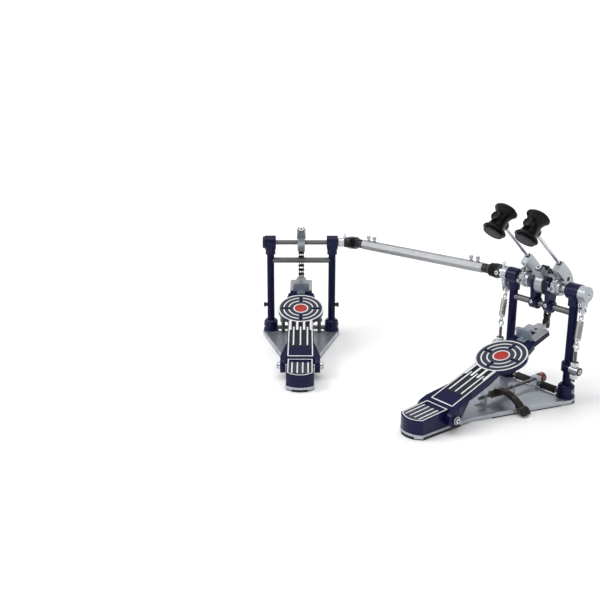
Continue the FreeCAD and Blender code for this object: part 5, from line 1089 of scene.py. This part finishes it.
THREAD = (2.5, 0.35, 0.9)
NUT_HEIGHT = 8.0
NUT_LOWS = (ADJUSTER_HEIGHT - 15.55, ADJUSTER_HEIGHT + 7.55)
THREAD_ENDS = (
    (ADJUSTER_HEIGHT - 21.9, ADJUSTER_HEIGHT - 15),
    (ADJUSTER_HEIGHT + 15, ADJUSTER_HEIGHT + 36),
)
ROCKER_FACE = [
    (4.0, -0.2), (13.9, -0.2), (13.9, 4.4), (13.0, 5.4), (9.4, 5.4), (8.9, 4.9), (4.0, 4.9),
]
HUB_NUT_TURNS = (30, 90)


def spring_fittings():
    """Nuts, threads, rings, end screws and sleeves of the two spring adjusters."""
    nuts, threads, rings = Shape(), Shape(), Shape()
    ends, painted_shades, sleeves = Shape(), Shape(), Shape()
    for sign in BOTH:
        column = PRIMARY @ at(SPRING_X * sign, ADJUSTER_Y, 0)
        for low in NUT_LOWS:
            nuts.add(column, knurl, 7.5, low, low + NUT_HEIGHT)
        for low, high in THREAD_ENDS:
            threads.add(column, thread, *THREAD, low, high)
        end = PRIMARY @ at(97 * sign, ADJUSTER_Y, ADJUSTER_HEIGHT) @ outward(sign)
        profile = [(4.6, -0.2), (7.7, -0.2), (7.7, 1.0), (7.1, 1.6), (4.6, 1.6)]
        rings.add(end, lathe, profile, closed=True)
        shaded_socket_head(ends, painted_shades, end, 4.5, 1.9, 2.3, 1.6)
        post = PRIMARY @ at(POST_X * sign, 0, ADJUSTER_HEIGHT)
        profile = mirrored([(8.2, -8.4), (11.6, -8.4), (12.4, -7.6)])
        sleeves.add(post, lathe, profile, 64, True)
        profile = [(0, -0.4), (7.3, -0.4), (7.8, 0.2), (7.8, 11.0), (7.4, 11.4), (0, 11.4)]
        sleeves.add(post @ at(0, ADJUSTER_Y, 0) @ outward(sign), lathe, profile)
    nuts.on("frame", "adjuster_nuts", CHROME, "chrome")
    threads.on("frame", "eyebolt_threads", DARK_STEEL, "steel")
    rings.on("frame", "adjuster_rings", BLACK_PLASTIC, "black_rubber", 0.1)
    ends.on("frame", "adjuster_screws", CHROME, "chrome", 0.1)
    # Painted shade: dark discs at the floors of the end screws' sockets
    painted_shades.on("frame", "adjuster_painted_shades", FIELD_AND_SHADE, "black_rubber")
    sleeves.on("frame", "adjuster_sleeves", POST_NAVY, "navy_post", 0.2)


def axle_fittings(side, sign):
    """The rocker's pin heads, cheeks and front screw, and the nuts under the hub's key screws."""
    body = side + "_axle_set"
    pins, painted_shades, cheeks = Shape(), Shape(), Shape()
    for x, out in ((90.2, sign), (82.2, -sign)):
        pin = PRIMARY @ at(x * sign, 0, ROCKER_HEIGHT) @ outward(out)
        shaded_socket_head(pins, painted_shades, pin, 4.3, 2.2, 2.2, 1.4)
    for x in (82.25, 90.15):
        cheek = PRIMARY @ at(x * sign, 0, ROCKER_HEIGHT) @ IN_YZ
        cheeks.add(cheek, slab, capsule(0, -6.8, 9.5, 13.6), -0.7, 0.7)
    screw = PRIMARY @ at(SPRING_X * sign, -8.8, AXLE_HEIGHT - 19) @ TO_DRUMMER
    shaded_socket_head(pins, painted_shades, screw, 3.6, 2.4, 1.8, 1.2)
    if side == "right":
        end = PRIMARY @ at(90.6, 0, AXLE_HEIGHT) @ ALONG_X
        shaded_socket_head(pins, painted_shades, end @ at(0, 0, 4.6), 4.6, 1.4, 2.4, 1.2)
        face = Shape().add(end, lathe, ROCKER_FACE, 64, True)
        face.on(body, "right_rocker_face", CAST, "cast_aluminium", 0.2)
    pins.on(body, side + "_rocker_screws", CHROME, "chrome", 0.1)
    # Painted shade: dark discs at the floors of the screws' sockets
    painted_shades.on(body, side + "_rocker_painted_shades", FIELD_AND_SHADE, "black_rubber")
    cheeks.on(body, side + "_rocker_cheeks", CHROME, "chrome", 0.3)
    nuts = Shape()
    for lean in HUB_NUT_TURNS:
        flat = PRIMARY @ at(BEATER_X * sign - 5.5, 0, AXLE_HEIGHT) @ turn(lean, "X")
        nuts.add(flat @ at(0, 0, 14.3), hex_nut, 5.2, 3.2)
    nuts.on(body, side + "_hub_nuts", CHROME, "chrome", 0.1)


def bar_fittings():
    """Caps on the slave's bare stubs, and the centre brackets' screws and collars."""
    caps = Shape()
    for sign in BOTH:
        stub = SLAVE @ at(79.5 * sign, 0, ADJUSTER_HEIGHT) @ outward(sign)
        caps.add(stub, lathe, [(0, 0), (5.4, 0), (5.4, 2.6), (4.2, 3.9), (0, 4.3)], 40)
    caps.on("frame", "slave_stub_caps", BLACK_PLASTIC, "black_rubber", 0.3)
    screws, painted_shades, collars = Shape(), Shape(), Shape()
    for sign in BOTH:
        screw = PRIMARY @ at(BRACKET_X * sign, -13.7, AXLE_HEIGHT - 36.5) @ TO_DRUMMER
        shaded_socket_head(screws, painted_shades, screw, 3.4, 0.7, 1.7, 0.6)
        bar = PRIMARY @ at(BRACKET_X * sign, 0, AXLE_HEIGHT - 40) @ ALONG_X
        collars.add(bar, lathe, mirrored([(0, -8.6), (10.2, -8.6), (11.2, -7.6)]), 64)
    screws.on("frame", "bracket_screw_faces", CHROME, "chrome", 0.1)
    # Painted shade: dark discs at the floors of the screws' sockets
    painted_shades.on("frame", "bracket_painted_shades", FIELD_AND_SHADE, "black_rubber")
    collars.on("frame", "bracket_collars", NAVY, "navy_casting", 0.3)


# Clamp lever and drive shaft

LEVER_CENTRE = (14, -114.0, -30)
LEVER_TOP = 63.6
COLLAR_PROFILE = [(7.9, 16.2), (8.3, 16.2), (8.6, 16.6), (8.6, 26.4), (8.3, 26.8), (7.9, 26.8)]
COLLAR_RIBS = 6
COLLAR_RIB = [(-0.4, -2.2), (0.7, -1.8), (0.7, 1.8), (-0.4, 2.2)]
COVER_PROFILE = [(9.8, 0), (10.1, 0), (10.4, 0.4), (10.4, 7.4), (9.8, 7.6)]
RING_PROFILE = [(8.9, 0), (9.5, 0), (9.9, 0.4), (9.9, 9.4), (9.5, 9.8), (8.9, 9.8)]


def arc_block(work, inner, outer, start, end, half, steps=20):
    """A curved bar in the XZ plane, as wide as twice half along Y."""
    loops = []
    for i in range(steps + 1):
        angle = radians(start + (end - start) * i / steps)
        loop = []
        for reach, y in oblong(inner, outer, -half, half):
            loop.append((reach * cos(angle), y, reach * sin(angle)))
        loops.append(loop)
    skin(work, loops)


def lever_details():
    """Three ribs and the end pad on top of the clamp's bent lever."""
    centre = PRIMARY @ at(*LEVER_CENTRE)
    ribs = Shape()
    for y in (-5.0, 0, 5.0):
        ribs.add(centre @ at(0, y, 0), arc_block, LEVER_TOP, 64.9, 46, 84, 1.5)
    ribs.on("clamp", "lever_ribs", GUNMETAL, "gunmetal", 0.4)
    pad = Shape().add(centre, arc_block, LEVER_TOP, 68.4, 30.5, 41.0, 10.0)
    pad.on("clamp", "lever_pad", RUBBER, "black_rubber", 0.9)


def shaft_details():
    """Ribbed collars on the shaft's two ends, and a cover and a bright ring on the slave's axle."""
    angle = radians(SHAFT_TURN)
    direction = Vector((cos(angle), sin(angle), 0))
    near = PRIMARY @ Vector((-JOINT_X, 0, AXLE_HEIGHT))
    far = near - direction * SHAFT_LENGTH
    collars = Shape()
    for point, way in ((near, -1), (far, 1)):
        base = at(*point) @ turn(SHAFT_TURN, "Z") @ outward(way)
        collars.add(base, lathe, COLLAR_PROFILE, closed=True)
        for i in range(COLLAR_RIBS):
            rib = base @ turn(360 / COLLAR_RIBS * i, "Z") @ at(8.5, 0, 0)
            collars.add(rib, slab, COLLAR_RIB, 17.4, 25.6)
    collars.on("drive_shaft", "shaft_collars", BLACK_PLASTIC, "black_rubber", 0.3)
    for name, x, profile, finish, slot in (
        ("slave_joint_cover", 92.8, COVER_PROFILE, BLACK_STEEL, "black_chain"),
        ("slave_axle_collar", 80.7, RING_PROFILE, BRIGHT, "chrome"),
    ):
        place = SLAVE @ at(x, 0, AXLE_HEIGHT) @ ALONG_X
        ring = Shape().add(place, lathe, profile, closed=True)
        ring.on("slave_axle_set", name, finish, slot, 0.1)


# Stage, light and camera, in metres

STAGE_MIDDLE = (-0.25, -0.15)
STAGE_RADIUS = 3.0
STAGE_BEND = 0.6
STAGE_STEPS = 96
BEND_STEPS = 12
WALL_TOP = 1.15
PAPER_PATCH = 3.0
PAPER_TONES = ((0.93, 0.93, 0.93, 1), (0.95, 0.95, 0.95, 1))
PAPER_ROUGHNESS = 0.85
GLOW_SPAN = (0.4, 3.4)
GLOW_LEVELS = (0.06, 0.5)
WORLD_LEVEL = 0.7
WORLD_BLUE = 1.02
WORLD_STEPS = ((0.0, 0.45), (0.14, 0.06), (0.5, 0.05), (0.68, 0.75), (0.9, 1.05))
LIGHTS = (
    ("key", (-1.3, -1.8, 1.9), (1.5, 1.1), 27),
    ("side", (1.6, -1.2, 1.5), (0.6, 0.9), 4),
    ("back", (-0.9, 1.9, 1.7), (1.6, 0.8), 8),
    ("top", (-0.3, -0.1, 2.4), (2.2, 1.6), 18),
)
LIGHT_TARGET = (-0.25, -0.12, 0.1)
CAMERA_PLACE = (0.9630, -1.2787, 0.6555)
CAMERA_WAY = (-0.7602, 0.5793, -0.2942)
CAMERA_LENS = 52.84
CAMERA_SENSOR = 36
CAMERA_END = 60


def floor_paper():
    """White paper, with a glow that grows away from the middle."""
    nodes = Nodes("floor_paper")
    patches = nodes.span(nodes.noise(PAPER_PATCH), *PATCH_SPAN)
    reach = nodes.math("ShaderNodeVectorMath", "DISTANCE", nodes.place, (*STAGE_MIDDLE, 0))
    nodes.fill(
        nodes.shader,
        Base_Color=nodes.mix(patches, *PAPER_TONES),
        Roughness=PAPER_ROUGHNESS,
        Emission_Strength=nodes.span(reach, *GLOW_SPAN, *GLOW_LEVELS),
        Emission_Color=(1, 1, 1, 1),
    )
    return nodes.material


def add_stage():
    """A round floor that bends up into a low wall."""
    profile = [(0.6, 0), (1.5, 0), (STAGE_RADIUS, 0)]
    for i in range(1, BEND_STEPS + 1):
        angle = pi / 2 * i / BEND_STEPS
        reach = STAGE_RADIUS + STAGE_BEND * sin(angle)
        profile.append((reach, STAGE_BEND * (1 - cos(angle))))
    profile.append((STAGE_RADIUS + STAGE_BEND, WALL_TOP))
    loops = [[(*STAGE_MIDDLE, 0)]]
    for radius, height in profile:
        loop = ring_points(radius, height, STAGE_STEPS)
        loops.append([(x + STAGE_MIDDLE[0], y + STAGE_MIDDLE[1], z) for x, y, z in loop])
    work = bmesh.new()
    skin(work, loops, capped=False)
    floor = mesh_object("floor", work, floor_paper())


def add_world():
    """Soft light from above, with a dimmer band round the sides that shows in polished metal."""
    world = bpy.data.worlds.new("studio")
    world.use_nodes = True
    tree = world.node_tree
    place = tree.nodes.new("ShaderNodeTexCoord")
    parts = tree.nodes.new("ShaderNodeSeparateXYZ")
    ramp = tree.nodes.new("ShaderNodeValToRGB")
    tree.links.new(place.outputs["Generated"], parts.inputs[0])
    tree.links.new(parts.outputs["Z"], ramp.inputs["Fac"])
    points = ramp.color_ramp.elements
    while len(points) < len(WORLD_STEPS):
        points.new(0.5)
    for point, (height, level) in zip(points, WORLD_STEPS):
        point.position = height
        point.color = (level, level, level * WORLD_BLUE, 1)
    backdrop = tree.nodes["Background"]
    tree.links.new(ramp.outputs["Color"], backdrop.inputs["Color"])
    backdrop.inputs["Strength"].default_value = WORLD_LEVEL
    bpy.context.scene.world = world


def aim(item, place, way):
    """Puts a light or a camera in its place, looking in a direction."""
    item.location = place
    item.rotation_euler = way.to_track_quat("-Z", "Y").to_euler()
    bpy.context.scene.collection.objects.link(item)


def add_light(name, place, size, power):
    """A rectangular light that faces the pedals."""
    data = bpy.data.lights.new(name, "AREA")
    data.shape = "RECTANGLE"
    data.size, data.size_y = size
    data.energy = power
    aim(bpy.data.objects.new(name, data), place, Vector(LIGHT_TARGET) - Vector(place))


def add_camera():
    """The photo's camera, and plain colours in the picture."""
    data = bpy.data.cameras.new("camera")
    data.sensor_width = CAMERA_SENSOR
    data.lens = CAMERA_LENS
    data.clip_end = CAMERA_END
    item = bpy.data.objects.new("camera", data)
    aim(item, CAMERA_PLACE, Vector(CAMERA_WAY))
    bpy.context.scene.camera = item
    bpy.context.scene.view_settings.view_transform = "Standard"


for side, pedal in PEDALS.items():
    board_treads(side, board_frame(pedal))
    heel_treads(side, pedal)
pads_and_sleeves()
for side, sign in SIDES.items():
    beater(side, sign)
springs()
boots()
for side, pedal in PEDALS.items():
    cam_body = "right_axle_set" if side == "primary" else "slave_axle_set"
    side_screws(side, pedal)
    plate_edge_highlights(side, pedal)
    cam_bolt(side, pedal, cam_body)
    chain_details(side, pedal, cam_body)
    toe_stop_blade(side, board_frame(pedal))
spring_fittings()
for side, sign in SIDES.items():
    axle_fittings(side, sign)
bar_fittings()
lever_details()
shaft_details()
add_stage()
add_world()
for light in LIGHTS:
    add_light(*light)
add_camera()
